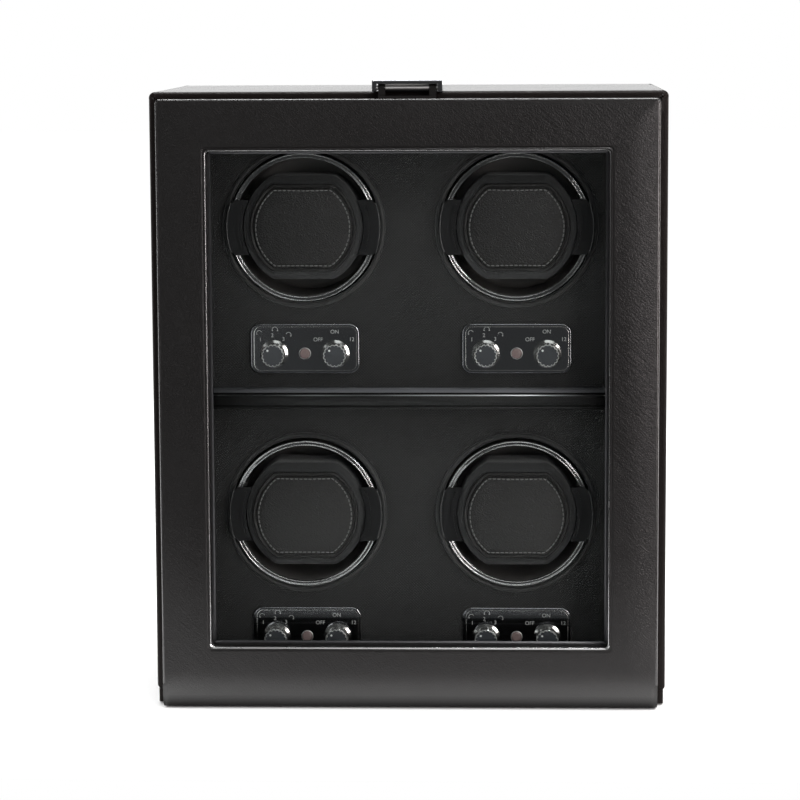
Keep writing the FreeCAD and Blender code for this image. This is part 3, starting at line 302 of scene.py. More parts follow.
def rounded_loop(half, low, high, radius, steps, long_side):
    """Closed loop of a rectangle with round corners, with matching point counts for every size."""
    loop = []
    corners = ((half, high, 0), (-half, high, 90), (-half, low, 180), (half, low, 270))
    for index, (x, z, turn) in enumerate(corners):
        cx = x - math.copysign(radius, x)
        cz = z - radius if z == high else z + radius
        loop += arc(cx, cz, radius, turn, turn + 90, steps)
        nx, nz, _ = corners[(index + 1) % 4]
        ex = nx - math.copysign(radius, nx)
        ez = nz - radius if nz == high else nz + radius
        first = loop[-1]
        spin = math.radians(turn + 90)
        last = (ex + radius * math.cos(spin), ez + radius * math.sin(spin))
        loop += [(first[0] + (last[0] - first[0]) * i / long_side,
                  first[1] + (last[1] - first[1]) * i / long_side) for i in range(1, long_side)]
    return loop


def door_loop(inset, outset, share):
    """Loop round the door, a share of the way from its outer edge to the window's edge."""
    outer = rounded_loop(door_half - inset, door_low + inset, door_high - inset, door_corner, 6, 24)
    inner = rounded_loop(window_half + outset, window_low - outset, window_high + outset,
                         window_corner, 6, 24)
    return [(a[0] + (b[0] - a[0]) * share, a[1] + (b[1] - a[1]) * share) for a, b in zip(outer, inner)]


def edge_fall(run):
    """How far the padded face has fallen back at a distance from the outer edge."""
    return edge_drop * max(0.0, 1 - run / edge_run) ** 2


def foot_fall(z):
    """How far the face has fallen back towards the fold at the foot of the door."""
    return foot_curve * max(0.0, foot_start - z) ** 2


lip_edge = 2 * lip_round + lip_groove
rail = door_half - window_half - fold_round - lip_edge
door_section = [(0.0, 0.0, 0.0, door_back + back_gap, 0.0), (0.0, 0.0, 0.0, door_front + 6, 0.0)]
for a, b in arc(0, 0, 1, 180, 270, 7):
    door_section.append((fold_round + fold_round * a, 0.0, 0.0,
                         door_front + fold_round + fold_round * b, edge_drop))
for share in (0.03, 0.07, 0.12, 0.18, 0.25, 0.33, 0.42, 0.52, 0.62, 0.72, 0.82, 0.91, 0.97):
    door_section.append((fold_round, lip_edge, share, door_front - door_crown * math.sin(math.pi * share),
                         edge_fall(share * rail)))
door_section += [(0.0, lip_edge - step, 1.0, door_front + back, 0.0)
                 for step, back in ((0.0, 0.0), (0.4, 0.12), (0.7, 0.36), (0.95, 0.2))]
door_section += [(0.0, reach, 1.0, door_front - lip_rise + back, 0.0) for reach, back in (
    (1.3, 0.1), (1.2, 0.0), (1.1, 0.0), (0.95, 0.07), (0.65, 0.205), (0.3, 0.36), (0.12, 0.5), (0.02, 0.8))]
door_section += [(0.0, reach, 1.0, y, 0.0) for reach, y in (
    (0.0, door_front + 4.0), (0.0, glass_front - glass_gap), (glass_rebate, glass_front - glass_gap),
    (glass_rebate, door_back + back_gap))]
door_rings = []
for inset, outset, share, y, fall in door_section:
    ring = []
    for x, z in door_loop(inset, outset, share):
        back = fall * min(1.0, max(0.0, (z - foot_flat) / foot_fade))
        back += foot_fall(z) if y < door_front + 2 else 0.0
        ring.append((x, y + back, z))
    door_rings.append(ring)
door_leather = sweep("door_leather", door_rings, close_path=True)
lip_highlight_metal = surface("lip_highlight_metal", (0.66, 0.66, 0.66), 0.26, 700.0, 0.06, 0.05, metallic=1.0)
edge_leather = leather("edge_leather", (0.006, 0.005, 0.005), 0.2, 1.1, 0.1, specular=0.9)
for material in (case_leather, lip_highlight_metal, edge_leather):
    door_leather.data.materials.append(material)
reaches = [row[1] for row in door_section]
lip_highlight_first, lip_highlight_last = (reaches.index(reach) for reach in lip_highlight)
sill_light_first, sill_light_last = (reaches.index(reach) for reach in sill_light)
# Bright metal finish: a painted highlight along the crest of the lip all round, and painted light on the
# lip's upward slope at the foot of the window.
for polygon in door_leather.data.polygons:
    ring = polygon.index // len(door_rings[0])
    in_sill_light = sill_light_first <= ring < sill_light_last and polygon.center.z < sill_light_top * MM
    if lip_highlight_first <= ring < lip_highlight_last or in_sill_light:
        polygon.material_index = 1
    elif edge_rings[0] <= ring < edge_rings[1] and polygon.center.z > edge_low * MM:
        polygon.material_index = 2
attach(door_leather, "door")
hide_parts("door_frame")

# Leather fold: the covering of the door runs on over the crease and round the spine below, and is
# glued under it. In the real box it is the door's hinge and bends there; this mesh is one fixed piece. Below
# the crease it is duller.
spine_top = 8.5
end_taper = 0.9
taper_height = 3.0
fold_steps = 72
spine_leather = leather("spine_leather", (0.0042, 0.0036, 0.0036), 0.36, 1.0, 0.2, specular=0.3, streak=1.2,
                        taut=(0.0005, 0.0085, 0.1, 0.8))
fold_section = [(door_front + 0.04 + foot_fall(15.0), 15.0), (door_front + 0.03 + foot_fall(14.6), 14.6)]
fold_section += [(door_front - 0.03 + foot_fall(z), z) for z in (12.6, 11.6, 10.6, 9.8, 9.0)]
fold_section += [(-97.63, 8.0), (-97.49, 7.0), (-97.29, 6.0), (-97.01, 5.0), (-96.63, 4.0), (-96.16, 3.1),
                 (-95.5, 2.2), (-94.7, 1.45), (-93.7, 0.85), (-92.5, 0.5), (-91.0, 0.4), (-84.0, 0.4)]
fold_section += [(-83.6, 0.8), (-83.6, 9.0), (-85.0, 9.25), (-95.6, 9.25), (-96.6, 9.7), (-97.1, 10.4),
                 (-97.6, 12.2), (-97.8, 14.8)]
fold_rings = []
for i in range(fold_steps + 1):
    side = 2 * i / fold_steps - 1
    fold_rings.append([(side * (door_half - end_taper * max(0.0, 1 - z / taper_height) ** 2), y, z)
                       for y, z in fold_section])
fold = sweep("leather_fold", fold_rings, caps=True)
fold.data.materials.append(case_leather)
fold.data.materials.append(spine_leather)
for polygon in fold.data.polygons:
    if polygon.center.z < spine_top * MM:
        polygon.material_index = 1
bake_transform(fold)
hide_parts("front_spine", "leather_hinge")

# Window glass: a clear sheet bedded behind the frame, held by a thin moulded black bead behind and by
# a bevelled strip of satin metal in front.
glass = bpy.data.materials.new("window_glass")
glass.use_nodes = True
tree = glass.node_tree
tree.nodes.remove(tree.nodes["Principled BSDF"])
clear = add_node(tree, "ShaderNodeBsdfTransparent", {"Color": (0.955, 0.965, 0.962, 1)})
shine = add_node(tree, "ShaderNodeBsdfGlossy", {"Roughness": 0.0})
glance = add_node(tree, "ShaderNodeFresnel", {"IOR": 1.2})
sides = add_node(tree, "ShaderNodeNewGeometry")
outside = add_node(tree, "ShaderNodeMath", {0: 1.0}, operation="SUBTRACT")
join(tree, sides, "Backfacing", outside, 1)
amount = add_node(tree, "ShaderNodeMath", operation="MULTIPLY")
join(tree, glance, "Fac", amount, 0)
join(tree, outside, "Value", amount, 1)
mix = add_node(tree, "ShaderNodeMixShader")
join(tree, amount, "Value", mix, "Fac")
join(tree, clear, "BSDF", mix, 1)
join(tree, shine, "BSDF", mix, 2)
join(tree, mix, "Shader", tree.nodes["Material Output"], "Surface")
black_plastic = surface("black_plastic", (0.012, 0.012, 0.012), 0.5, 1600.0, 0.3, 0.08)
dress("door_glass", glass)
dress("glazing_strip", surface("satin_strip", (0.1, 0.1, 0.105), 0.36, 900.0, 0.12, 0.06, metallic=1.0))
dress("glass_bead", black_plastic)

# Bay boards: linings and fascias of board, covered with a fine woven cloth that is glued on with its
# threads on the slant. The fascias have holes for the drums and carry the control plates.
cloth, tree, shader = new_material("woven_cloth", (0.014, 0.014, 0.0145), 0.78, specular=0.35, sheen=0.1)
place = add_node(tree, "ShaderNodeTexCoord")
slant = add_node(tree, "ShaderNodeMapping", {"Rotation": (0, math.radians(45), 0)})
join(tree, place, "Object", slant, "Vector")
weave = add_node(tree, "ShaderNodeMath", operation="MULTIPLY")
for socket, direction in enumerate(("X", "Z")):
    thread = add_node(tree, "ShaderNodeTexWave", {"Scale": 260.0, "Distortion": 0.4, "Detail": 1.0},
                      bands_direction=direction)
    join(tree, slant, "Vector", thread, "Vector")
    join(tree, thread, "Fac", weave, socket)
shade = add_node(tree, "ShaderNodeMapRange", {"To Min": 0.011, "To Max": 0.0278})
join(tree, weave, "Value", shade, "Value")
tone = add_node(tree, "ShaderNodeCombineColor")
for channel in ("Red", "Green", "Blue"):
    join(tree, shade, "Result", tone, channel)
join(tree, tone, "Color", shader, "Base Color")
bump = add_node(tree, "ShaderNodeBump", {"Strength": 0.6, "Distance": 0.0004})
join(tree, weave, "Value", bump, "Height")
join(tree, bump, "Normal", shader, "Normal")
for name in ("upper_bay_lining", "lower_bay_lining", "fascia_upper", "fascia_lower"):
    dress(name, cloth)

# Shelf: a board between the bays, wrapped in leather, with a groove along its front and a rounded edge above
# it.
# The groove is dark and dull as painted shade, and so is a strip along the front of the top. The edge's upper
# facet is bright metal as a painted highlight, and the top behind the strip is pale bluish as painted light.
shelf_half = 140.0
shelf_low = 174.4
shelf_high = 183.4
shelf_front = -82.0
shelf_round = 0.9
groove_low = 1.5
groove_high = 2.3
groove_depth = 0.5
groove_slope = 0.2
edge_highlight_zone = 3.4
dark_strip_width = 6.0
shelf_section = [(case_rear, shelf_low)]
shelf_section += [(shelf_front + shelf_round + shelf_round * a, shelf_low + shelf_round + shelf_round * b)
                  for a, b in arc(0, 0, 1, 270, 180, 6)]
shelf_section += [(shelf_front, shelf_low + groove_low),
                  (shelf_front + groove_depth, shelf_low + groove_low + groove_slope),
                  (shelf_front + groove_depth, shelf_low + groove_high - groove_slope),
                  (shelf_front, shelf_low + groove_high)]
shelf_section += [(shelf_front + back, shelf_high - down) for back, down in (
    (0.0, 1.5), (0.04, 1.2), (0.32, 0.5), (0.6, 0.15), (1.2, 0.0), (dark_strip_width, 0.0))]
shelf_section += [(case_rear, shelf_high)]
shelf_rings = [[(x, y, z) for y, z in shelf_section] for x in (-shelf_half, 0.0, shelf_half)]
shelf = sweep("shelf_wrap", shelf_rings, caps=True)
for material in (
        leather("shelf_leather", (0.0062, 0.0063, 0.0065), 0.42, 0.9, 0.3, specular=0.3),
        # Pale bluish top: painted light and painted reflection on the top's upward faces.
        surface("shelf_top_painted_light", (0.19, 0.19, 0.205), 0.55, 900.0, 0.2, 0.08),
        # Bright metal on the upper facet of the edge: a painted highlight.
        surface("shelf_edge_painted_highlight", (0.34, 0.34, 0.35), 0.3, 900.0, 0.05, 0.05, metallic=1.0),
        # Dark dull finish: painted shade in the groove, and a dark strip along the front of the top.
        surface("shelf_groove_shade_and_strip", (0.003, 0.003, 0.003), 0.8, 900.0, 0.2, 0.05, specular=0.1)):
    shelf.data.materials.append(material)
for polygon in shelf.data.polygons:
    facing_up = polygon.normal.z > 0.9
    height = polygon.center.z / MM
    in_groove = shelf_low + groove_low - 0.1 < height < shelf_low + groove_high + 0.1
    if in_groove or (facing_up and polygon.center.y < (shelf_front + dark_strip_width) * MM):
        polygon.material_index = 3
    elif facing_up:
        polygon.material_index = 1
    elif 0.2 < polygon.normal.z < 0.6 and height > shelf_high - edge_highlight_zone:
        polygon.material_index = 2
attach(shelf, "case")
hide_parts("divider")

# Drum surrounds: soft moulded rings with a fine matt skin, pressed into the holes of the fascias so
# that no gap shows round the drums.
dress("drum_surrounds", surface("soft_ring", (0.018, 0.018, 0.018), 0.45, 2200.0, 0.5, 0.08, sheen=0.2))

# Drums: gloss black mouldings, each with a plated rim pressed on its lip and two fine polished beads
# on the rim. Behind, they turn on steel screws in moulded carriers, driven by motors through brass pinions.
HEADS = {
    "upper_left": (-62.3, 278.5),
    "upper_right": (62.3, 278.5),
    "lower_left": (-62.3, 109.0),
    "lower_right": (62.3, 109.0),
}
bead_front = -57.4
bead_sizes = ((42.95, 0.42), (41.0, 0.34))
drum_plastic = surface("drum_plastic", (0.13, 0.122, 0.118), 0.3, 420.0, 0.05, 0.05)
chrome = surface("polished_chrome", (0.4, 0.4, 0.41), 0.12, 300.0, 0.01, 0.03, metallic=1.0)
bead_chrome = surface("bead_chrome", (0.85, 0.85, 0.85), 0.16, 300.0, 0.008, 0.04, metallic=1.0)
brass = surface("brass", (0.6, 0.44, 0.2), 0.3, 800.0, 0.1, 0.08, metallic=1.0)


def circle(reach, steps):
    return [(2 * math.pi * t / steps, reach) for t in range(steps)]


def tube(name, centre, path, thick, depth, **ends):
    """Thin round bead, seen from the front, along a path of turns and reaches about a centre."""
    cx, y, cz = centre
    rings = []
    for turn, reach in path:
        rings.append([(cx + (reach + thick * a) * math.cos(turn), y + depth * b,
                       cz + (reach + thick * a) * math.sin(turn)) for a, b in arc(0, 0, 1, 0, 315, 7)])
    return sweep(name, rings, **ends)


for head, (cx, cz) in HEADS.items():
    dress("drum_" + head, drum_plastic)
    dress("drum_rim_" + head, chrome)
    dress("pinion_" + head, brass)
    for number, (reach, thick) in enumerate(bead_sizes):
        bead = tube(f"rim_bead_{number}_{head}", (cx, bead_front, cz), circle(reach, 144), thick, thick,
                    close_path=True)
        bead.data.materials.append(bead_chrome)
        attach(bead, "winder_" + head)
for name in ("drum_axles", "gear_motors"):
    dress(name, steel)
for name in ("drum_carriers", "rotary_switches", "power_inlet"):
    dress(name, black_plastic)
dress("circuit_boards", surface("board_green", (0.02, 0.09, 0.05), 0.4, 700.0, 0.2, 0.1))

# Watch cuffs: foam pads in black suede, each with a leather panel sewn on its front over a welt, on a
# moulded plastic frame that pushes into the drum and has a wing over the rim at each side.
pad_reach = 35.3
pad_half = 30.5
pad_front = -65.0
pad_back = -19.0
pad_crown = 2.2
pad_points = 160
patch_reach = 28.7
patch_half = 23.1
patch_raise = 1.3
wing_reach = 44.75
wing_front = -60.2
wing_turn = 19.5
wing_bead = 0.28
wing_steps = 24
stitch_inset = 1.3
stitch_length = 1.9
stitch_gap = 0.8
stitch_round = 0.36
stitch_corner = 1.6
stitch_sink = 0.12
stitch_bow = 0.26
stitch_rings = 6
stitch_sides = 8
line_points = 720
suede, tree, shader = new_material("cuff_suede", (0.019, 0.019, 0.0195), 0.6, specular=0.4, sheen=0.15)
place = add_node(tree, "ShaderNodeTexCoord")
nap = add_node(tree, "ShaderNodeTexNoise", {"Scale": 1800.0, "Detail": 4.0})
join(tree, place, "Object", nap, "Vector")
wrinkle = add_node(tree, "ShaderNodeTexNoise", {"Scale": 150.0, "Detail": 3.0, "Distortion": 1.2})
join(tree, place, "Object", wrinkle, "Vector")
hide = add_node(tree, "ShaderNodeMath", {1: 4.0}, operation="MULTIPLY_ADD")
join(tree, wrinkle, "Fac", hide, 0)
join(tree, nap, "Fac", hide, 2)
bump = add_node(tree, "ShaderNodeBump", {"Strength": 0.5, "Distance": 0.0003})
join(tree, hide, "Value", bump, "Height")
join(tree, bump, "Normal", shader, "Normal")
patch_leather = leather("cuff_leather", (0.0085, 0.0081, 0.008), 0.34, 1.1, 0.5, specular=0.42, streak=1.2)
cuff_thread = surface("cuff_thread", (0.11, 0.11, 0.108), 0.35, 3000.0, 0.4, 0.08)
wing_edge_highlight = surface("wing_edge_highlight", (0.05, 0.05, 0.05), 0.25, 700.0, 0.05, 0.05, specular=1.0, coat=0.5)
cuff_plastic = surface("cuff_plastic", (0.008, 0.008, 0.0085), 0.34, 1400.0, 0.2, 0.06, specular=0.25)


def barrel_loop(reach, half, corner, count):
    """Circle cut off flat above and below, with small round corners, in equal steps along the line."""
    cz = half - corner
    cx = math.sqrt((reach - corner) ** 2 - cz ** 2)
    lean = math.degrees(math.atan2(cz, cx))
    quarter = arc(0, 0, reach, 0, lean, 24)[:-1] + arc(cx, cz, corner, lean, 90, 10)
    quarter += [(cx * (1 - i / 20), half) for i in range(1, 21)]
    upper = quarter + [(-x, z) for x, z in reversed(quarter[:-1])]
    ring = upper[:-1] + [(-x, -z) for x, z in upper[:-1]]
    steps = [math.dist(ring[i], ring[(i + 1) % len(ring)]) for i in range(len(ring))]
    total = sum(steps)
    loop, index, gone = [], 0, 0.0
    for i in range(count):
        while gone + steps[index] < total * i / count - 1e-9:
            gone += steps[index]
            index += 1
        share = (total * i / count - gone) / steps[index]
        (ax, az), (bx, bz) = ring[index], ring[(index + 1) % len(ring)]
        loop.append((ax + (bx - ax) * share, az + (bz - az) * share))
    return loop


def crown(x, z):
    """How far the crowned front of the pad has fallen back at a point."""
    return pad_crown * (x * x + z * z) / (pad_reach * pad_reach)


def seam_point(line, lengths, distance):
    """Point on the sewing line at a distance along it."""
    distance %= lengths[-1]
    low, high = 0, len(line)
    while high - low > 1:
        middle = (low + high) // 2
        low, high = (middle, high) if lengths[middle] <= distance else (low, middle)
    a, b = line[low], line[(low + 1) % len(line)]
    share = (distance - lengths[low]) / max(1e-9, lengths[low + 1] - lengths[low])
    return a[0] + (b[0] - a[0]) * share, a[1] + (b[1] - a[1]) * share


def stitch_row(cx, cz):
    """Points and faces of a row of separate stitches, each a short bowed thread of eight sides."""
    line = [(x * (1 - stitch_inset / math.hypot(x, z)), z * (1 - stitch_inset / math.hypot(x, z)))
            for x, z in barrel_loop(patch_reach, patch_half, stitch_corner, line_points)]
    lengths = [0.0]
    for i in range(line_points):
        a, b = line[i], line[(i + 1) % line_points]
        lengths.append(lengths[-1] + math.hypot(b[0] - a[0], b[1] - a[1]))
    number = round(lengths[-1] / (stitch_length + stitch_gap))
    points, faces = [], []
    for s in range(number):
        first = len(points)
        for t in range(stitch_rings):
            share = t / (stitch_rings - 1)
            distance = s * lengths[-1] / number + stitch_length * share
            x, z = seam_point(line, lengths, distance)
            ahead = seam_point(line, lengths, distance + 0.05)
            dx, dz = ahead[0] - x, ahead[1] - z
            size = math.hypot(dx, dz) or 1.0
            nx, nz = -dz / size, dx / size
            lift = patch_raise - stitch_sink + stitch_bow * math.sin(math.pi * share)
            thick = stitch_round * (0.55 + 0.45 * math.sin(math.pi * (t + 0.5) / stitch_rings))
            for k in range(stitch_sides):
                spin = 2 * math.pi * k / stitch_sides
                points.append((cx + x + nx * thick * math.cos(spin),
                               pad_front + crown(x, z) - lift - thick * math.sin(spin),
                               cz + z + nz * thick * math.cos(spin)))
        for t in range(stitch_rings - 1):
            a, b = first + t * stitch_sides, first + (t + 1) * stitch_sides
            faces += [(a + k, b + k, b + (k + 1) % stitch_sides, a + (k + 1) % stitch_sides)
                      for k in range(stitch_sides)]
        last = first + (stitch_rings - 1) * stitch_sides
        faces.append(tuple(first + k for k in reversed(range(stitch_sides))))
        faces.append(tuple(last + k for k in range(stitch_sides)))
    return points, faces


pad_section = [(26.0, pad_back), (12.0, pad_back)]
pad_section += [(inset, pad_back - depth) for inset, depth in (
    (4.0, 0.6), (1.2, 2.4), (0.0, 5.5), (0.5, 14.0), (0.7, 22.0))]
pad_section += [(inset, pad_front + depth) for inset, depth in (
    (0.4, 16.0), (0.0, 9.6), (0.35, 6.8), (1.1, 4.6), (2.3, 2.7), (3.9, 1.3), (5.6, 0.45), (7.4, 0.05),
    (9.5, 0.0), (18.0, 0.0), (27.0, 0.0))]
patch_section = [(-2.7, -0.6), (-2.5, 0.1), (-2.1, 0.5), (-1.6, 0.62), (-1.1, 0.5), (-0.7, 0.12),
                 (-0.35, -0.05), (-0.05, 0.1), (0.0, 0.45), (0.12, 0.8), (0.45, 1.12), (0.85, 1.2),
                 (stitch_inset, 1.05), (1.75, 1.2)]
patch_section += [(inset, patch_raise + rise) for inset, rise in (
    (2.4, 0.0), (3.4, 0.05), (8.0, 0.1), (16.0, 0.1), (21.5, 0.1))]
for head, (cx, cz) in HEADS.items():
    body = "cuff_" + head
    rings = []
    for inset, y in pad_section:
        crowned = 1.0 if y < pad_front + 5 else 0.0
        loop = barrel_loop(pad_reach - inset, pad_half - inset, max(0.8, 4.0 - inset / 8), pad_points)
        rings.append([(cx + x, y + crowned * crown(x, z), cz + z) for x, z in loop])
    pad = sweep("cuff_pad_soft_" + head, rings, caps=True)
    pad.data.materials.append(suede)
    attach(pad, body)
    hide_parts("cuff_pad_" + head)

    rings = []
    for inset, rise in patch_section:
        loop = barrel_loop(patch_reach - inset, patch_half - inset, max(0.6, 1.8 - inset / 14), pad_points)
        rings.append([(cx + x, pad_front - rise + crown(x, z), cz + z) for x, z in loop])
    patch = sweep("cuff_patch_" + head, rings, caps=True)
    patch.data.materials.append(patch_leather)
    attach(patch, body)

    stitches = new_mesh("cuff_stitches_" + head, *stitch_row(cx, cz))
    stitches.data.materials.append(cuff_thread)
    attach(stitches, body)

    # Each wing's outer edge has a rounded bead in a lighter, glossier copy of the frame's plastic: a real
    # edge with a painted highlight in its colour.
    for side in ("left", "right"):
        turns = [math.radians(wing_turn * (2 * t / wing_steps - 1)) for t in range(wing_steps + 1)]
        path = [(math.pi - turn if side == "left" else turn, wing_reach) for turn in turns]
        lip = tube(f"wing_edge_{side}_{head}", (cx, wing_front, cz), path, wing_bead, wing_bead, caps=True)
        lip.data.materials.append(wing_edge_highlight)
        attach(lip, body)
    dress("cuff_frame_" + head, cuff_plastic)

# Control plates: pressed plates of dark chrome, glued on the fascias, with printed legends and a clear
# indicator lens in a collar. Each has two fluted chrome knobs with a dark flat cap and a white dot.
plate_drop = 71.7
plate_front = -54.5
plate_half = 32.28
plate_rise = 14.73
plate_corner = 6.0
plate_thick = 0.9
edge_width = 2.0
left_highlight_widening = 0.4
collar_reach = 3.25
collar_bead = 0.3
print_height = 3.2
print_line = 0.13
arrow_half = 0.5
arrow_turn = 22
arrow_steps = 14
knob_half = 18.1
knob_drop = 2.9
knob_top = -66.9
knob_reach = 6.35
knob_flutes = 16
flute_depth = 0.6
flute_points = 192
rim_bead = 0.32
rim_depth = 0.26
dot_reach = 0.62
dot_offset = 3.0
dot_points = 16
cap_inset = 0.25
plate_chrome = surface("plate_chrome", (0.44, 0.445, 0.47), 0.09, 260.0, 0.0, 0.02, metallic=1.0)
edge_chrome = surface("edge_chrome", (0.72, 0.72, 0.71), 0.26, 300.0, 0.01, 0.04, metallic=1.0)
rim_chrome = surface("rim_chrome", (0.8, 0.8, 0.79), 0.42, 300.0, 0.0, 0.06, metallic=1.0)
knob_chrome = surface("knob_chrome", (0.6, 0.6, 0.59), 0.14, 500.0, 0.05, 0.06, metallic=1.0)
print_white = surface("print_white", (0.28, 0.285, 0.28), 0.45, 2500.0, 0.2, 0.1)
dot_white = surface("dot_white", (0.55, 0.55, 0.54), 0.45, 2500.0, 0.2, 0.1)
cap_dark = surface("knob_cap", (0.036, 0.038, 0.042), 0.24, 900.0, 0.1, 0.06)
dress("control_plates", plate_chrome)
dress("indicator_lenses", surface("lens", (0.24, 0.175, 0.17), 0.14, 500.0, 0.0, 0.04, coat=1.0, clear=0.35))


def letters(name, words, x, z):
    """Printed legend, centred on a point of the plate."""
    curve = bpy.data.curves.new(name, "FONT")
    curve.body = words
    curve.size = print_height * MM
    curve.align_x = "CENTER"
    curve.align_y = "CENTER"
    curve.extrude = 0.03 * MM
    item = bpy.data.objects.new(name, curve)
    bpy.context.scene.collection.objects.link(item)
    item.rotation_euler = (math.radians(90), 0, 0)
    item.location = (x * MM, (plate_front - 0.04) * MM, z * MM)
    item.data.materials.append(print_white)
    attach(item, "case")


def arrow(name, x, z, radius, start, stop, tips):
    """Printed curved arrow, drawn as a thin band with a point at one or both ends."""
    def spot(reach, degrees):
        turn = math.radians(degrees)
        return x + reach * math.cos(turn), plate_front - 0.05, z + reach * math.sin(turn)

    points = [spot(reach, start + (stop - start) * i / arrow_steps) for i in range(arrow_steps + 1)
              for reach in (radius - print_line, radius + print_line)]
    faces = [(2 * i, 2 * i + 1, 2 * i + 3, 2 * i + 2) for i in range(arrow_steps)]
    for end, sign in tips:
        first = len(points)
        points += [spot(radius - arrow_half, end), spot(radius + arrow_half, end),
                   spot(radius, end + sign * arrow_turn)]
        faces.append((first, first + 1, first + 2))
    item = new_mesh(name, points, faces, smooth=False)
    item.data.materials.append(print_white)
    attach(item, "case")


for head, (cx, cz) in HEADS.items():
    level = cz - plate_drop
    rings = []
    for inset, rise in ((0.0, 0.0), (0.03, 0.3), (0.12, 0.52), (0.28, 0.7), (0.36, 0.76),
                        (edge_width - 0.1, 0.92), (edge_width, 0.93)):
        loop = rounded_loop(plate_half - inset, inset - plate_rise, plate_rise - inset,
                            plate_corner - inset, 8, 6)
        ring = []
        for x, z in loop:
            # The chrome border is bright all round and widens towards the left, a painted highlight where a
            # bright reflection falls on that side.
            highlight_widening = left_highlight_widening * inset * max(0.0, (plate_corner - plate_half - x) / plate_corner)
            ring.append((cx + x + highlight_widening, plate_front + plate_thick - rise, level + z))
        rings.append(ring)
    border = sweep("plate_edge_" + head, rings)
    border.data.materials.append(edge_chrome)
    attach(border, "case")
    collar = tube("lens_collar_" + head, (cx, plate_front - 0.1, level - knob_drop), circle(collar_reach, 48),
                  collar_bead, collar_bead, close_path=True)
    collar.data.materials.append(rim_chrome)
    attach(collar, "case")
    for words, x, z in (("1", -26.3, 5.3), ("2", -19.2, 7.8), ("3", -12.6, 5.6),
                        ("OFF", 7.8, 5.3), ("ON", 17.6, 9.9), ("12", 27.6, 5.4)):
        letters(f"legend_{words}_{head}", words, cx + x, level + z)
    arrow(f"arrow_1_{head}", cx - 26.9, level + 9.2, 1.5, 20, 200, [(200, 1)])
    arrow(f"arrow_2_{head}", cx - 17.6, level + 11.2, 1.6, -10, 190, [(190, 1), (-10, -1)])
    arrow(f"arrow_3_{head}", cx - 9.6, level + 8.2, 1.5, 160, -20, [(-20, -1)])
    for role, x in (("direction", cx - knob_half), ("mode", cx + knob_half)):
        body = f"{role}_switch_{head}"
        dress(f"{role}_knob_{head}", knob_chrome)
        z = level - knob_drop
        flutes = [(turn, reach - flute_depth * max(0.0, math.cos(knob_flutes * turn)) ** 1.5)
                  for turn, reach in circle(knob_reach, flute_points)]
        disc = [(x + (reach - cap_inset) * math.cos(turn), knob_top - 0.06,
                 z + (reach - cap_inset) * math.sin(turn)) for turn, reach in flutes]
        cap = new_mesh(f"{role}_cap_{head}", disc, [tuple(range(flute_points))], smooth=False)
        cap.data.materials.append(cap_dark)
        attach(cap, body)
        rim = tube(f"{role}_rim_{head}", (x, knob_top + 0.1, z), flutes, rim_bead, -rim_depth,
                   close_path=True)
        rim.data.materials.append(rim_chrome)
        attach(rim, body)
        mark = [(x - dot_offset + reach * math.cos(turn), knob_top - 0.1,
                 z + dot_offset + reach * math.sin(turn)) for turn, reach in circle(dot_reach, dot_points)]
        dot = new_mesh(f"{role}_dot_{head}", mark, [tuple(range(dot_points))], smooth=False)
        dot.data.materials.append(dot_white)
        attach(dot, body)

# Clasp: pressed and polished dark metal. The flap turns on a plated pin, and its magnet rests on the
# keeper, with a bright liner round it. The bracket for the pin is lacquered black and fixed to the door.
liner_half = 17.0
liner_depth = (-87.4, -77.0)
liner_height = (360.4, 362.5)
dress("clasp_flap", plate_chrome)
dress("clasp_bracket", surface("clasp_black", (0.0045, 0.0036, 0.0034), 0.5, 900.0, 0.2, 0.08, specular=0.2))
dress("clasp_keeper", surface("clasp_dark", (0.07, 0.07, 0.075), 0.25, 400.0, 0.05, 0.06, metallic=1.0))
dress("clasp_pin", rim_chrome)
dress("clasp_magnet", steel)
liner_points = [(x, y, z) for x in (-liner_half, liner_half) for y in liner_depth for z in liner_height]
liner_faces = [(0, 1, 3, 2), (4, 6, 7, 5), (0, 4, 5, 1), (2, 3, 7, 6), (0, 2, 6, 4), (1, 5, 7, 3)]
liner = new_mesh("clasp_liner", liner_points, liner_faces, smooth=False)
liner.data.materials.append(rim_chrome)
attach(liner, "clasp")

# Studio: a plain pale paper floor that ends in front of the box, and soft boxes in front, at the sides,
# above and behind. The surround is white to the eye and dark to what mirrors it.
floor_half = 6000.0
floor_front = -258.0
floor_rear = 9000.0
floor_points = [(-floor_half, floor_front, 0), (floor_half, floor_front, 0), (floor_half, floor_rear, 0),
                (-floor_half, floor_rear, 0)]
floor = new_mesh("floor", floor_points, [(0, 1, 2, 3)], smooth=False)
floor.data.materials.append(surface("floor_paper", (0.92, 0.92, 0.92), 0.9, 900.0, 0.05, 0.05, specular=0.0))


def soft_box(name, place, target, width, height, power, tint=(1.0, 1.0, 1.0)):
    lamp = bpy.data.lights.new(name, "AREA")
    lamp.shape = "RECTANGLE"
    lamp.size = width
    lamp.size_y = height
    lamp.energy = power
    lamp.color = tint
    item = bpy.data.objects.new(name, lamp)
    bpy.context.scene.collection.objects.link(item)
    item.location = place
    away = Vector(target) - Vector(place)
    item.rotation_euler = away.to_track_quat("-Z", "Y").to_euler()


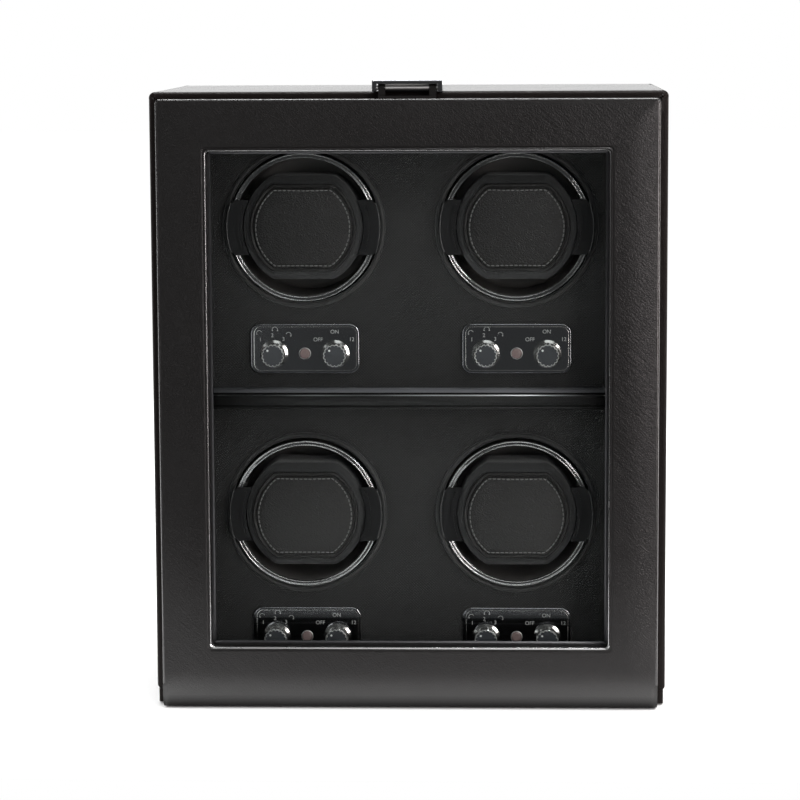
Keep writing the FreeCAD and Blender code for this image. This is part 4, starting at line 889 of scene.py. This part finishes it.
soft_box("box_right", (0.76, -1.46, 0.34), (0.13, -0.1, 0.26), 0.3, 0.7, 6.5, (1.0, 0.92, 0.91))
soft_box("box_front_right", (0.55, -0.55, 0.62), (0.14, -0.1, 0.26), 0.12, 0.18, 0.9)
soft_box("box_left_low", (-0.56, -1.5, 0.08), (-0.05, -0.06, 0.2), 0.52, 0.4, 0.85)
soft_box("box_front_left", (-1.1, -1.3, 0.9), (0, -0.06, 0.2), 0.5, 0.7, 0.8)
soft_box("box_front", (0.5, -2.4, 1.9), (0, -0.06, 0.2), 1.7, 0.9, 5.8)
soft_box("strip_right", (0.9, -0.04, 0.35), (0.15, -0.09, 0.2), 0.08, 0.7, 3, (1.0, 0.9, 0.86))
soft_box("strip_left", (-0.9, -0.04, 0.35), (-0.15, -0.09, 0.2), 0.08, 0.7, 1.8)
soft_box("strip_above", (0.05, -0.03, 1.1), (0, -0.09, 0.35), 1.2, 0.15, 13)
soft_box("card_behind", (0, 1.4, 0.6), (0, 0, 0.36), 2.6, 0.6, 7)

world = bpy.data.worlds.new("studio")
bpy.context.scene.world = world
world.use_nodes = True
tree = world.node_tree
sky = tree.nodes["Background"]
seen = add_node(tree, "ShaderNodeBackground")
mirrored = add_node(tree, "ShaderNodeBackground")
for background, strength in ((sky, 1.1), (seen, 1.0), (mirrored, 0.06)):
    background.inputs["Color"].default_value = (1, 1, 1, 1)
    background.inputs["Strength"].default_value = strength
path = add_node(tree, "ShaderNodeLightPath")
unseen = add_node(tree, "ShaderNodeMixShader")
join(tree, path, "Is Glossy Ray", unseen, "Fac")
join(tree, sky, "Background", unseen, 1)
join(tree, mirrored, "Background", unseen, 2)
surround = add_node(tree, "ShaderNodeMixShader")
join(tree, path, "Is Camera Ray", surround, "Fac")
join(tree, unseen, "Shader", surround, 1)
join(tree, seen, "Background", surround, 2)
join(tree, surround, "Shader", tree.nodes["World Output"], "Surface")

# Camera: a long lens on a stand in front of the box, a little higher than its top and a little to
# the right of its middle, tipped down and turned towards it.
sensor_width = 36.0
picture_width = 800.0
focal_length = 2968.2
position = (0.0626, -1.7886, 0.3981)
pitch, yaw, roll = math.radians(7.282), math.radians(-2.279), math.radians(-0.269)
camera = bpy.data.cameras.new("camera")
camera.sensor_width = sensor_width
camera.lens = sensor_width * focal_length / picture_width
camera.clip_end = 50.0
view = bpy.data.objects.new("camera", camera)
bpy.context.scene.collection.objects.link(view)
ahead = Vector((math.sin(yaw) * math.cos(pitch), math.cos(yaw) * math.cos(pitch), -math.sin(pitch)))
right = Vector((math.cos(yaw), -math.sin(yaw), 0))
up = right.cross(ahead)
level_right = math.cos(roll) * right + math.sin(roll) * up
level_up = -math.sin(roll) * right + math.cos(roll) * up
turn = Matrix((level_right, level_up, -ahead)).transposed().to_4x4()
view.matrix_world = Matrix.Translation(position) @ turn
bpy.context.scene.camera = view
bpy.context.scene.view_settings.view_transform = "Standard"
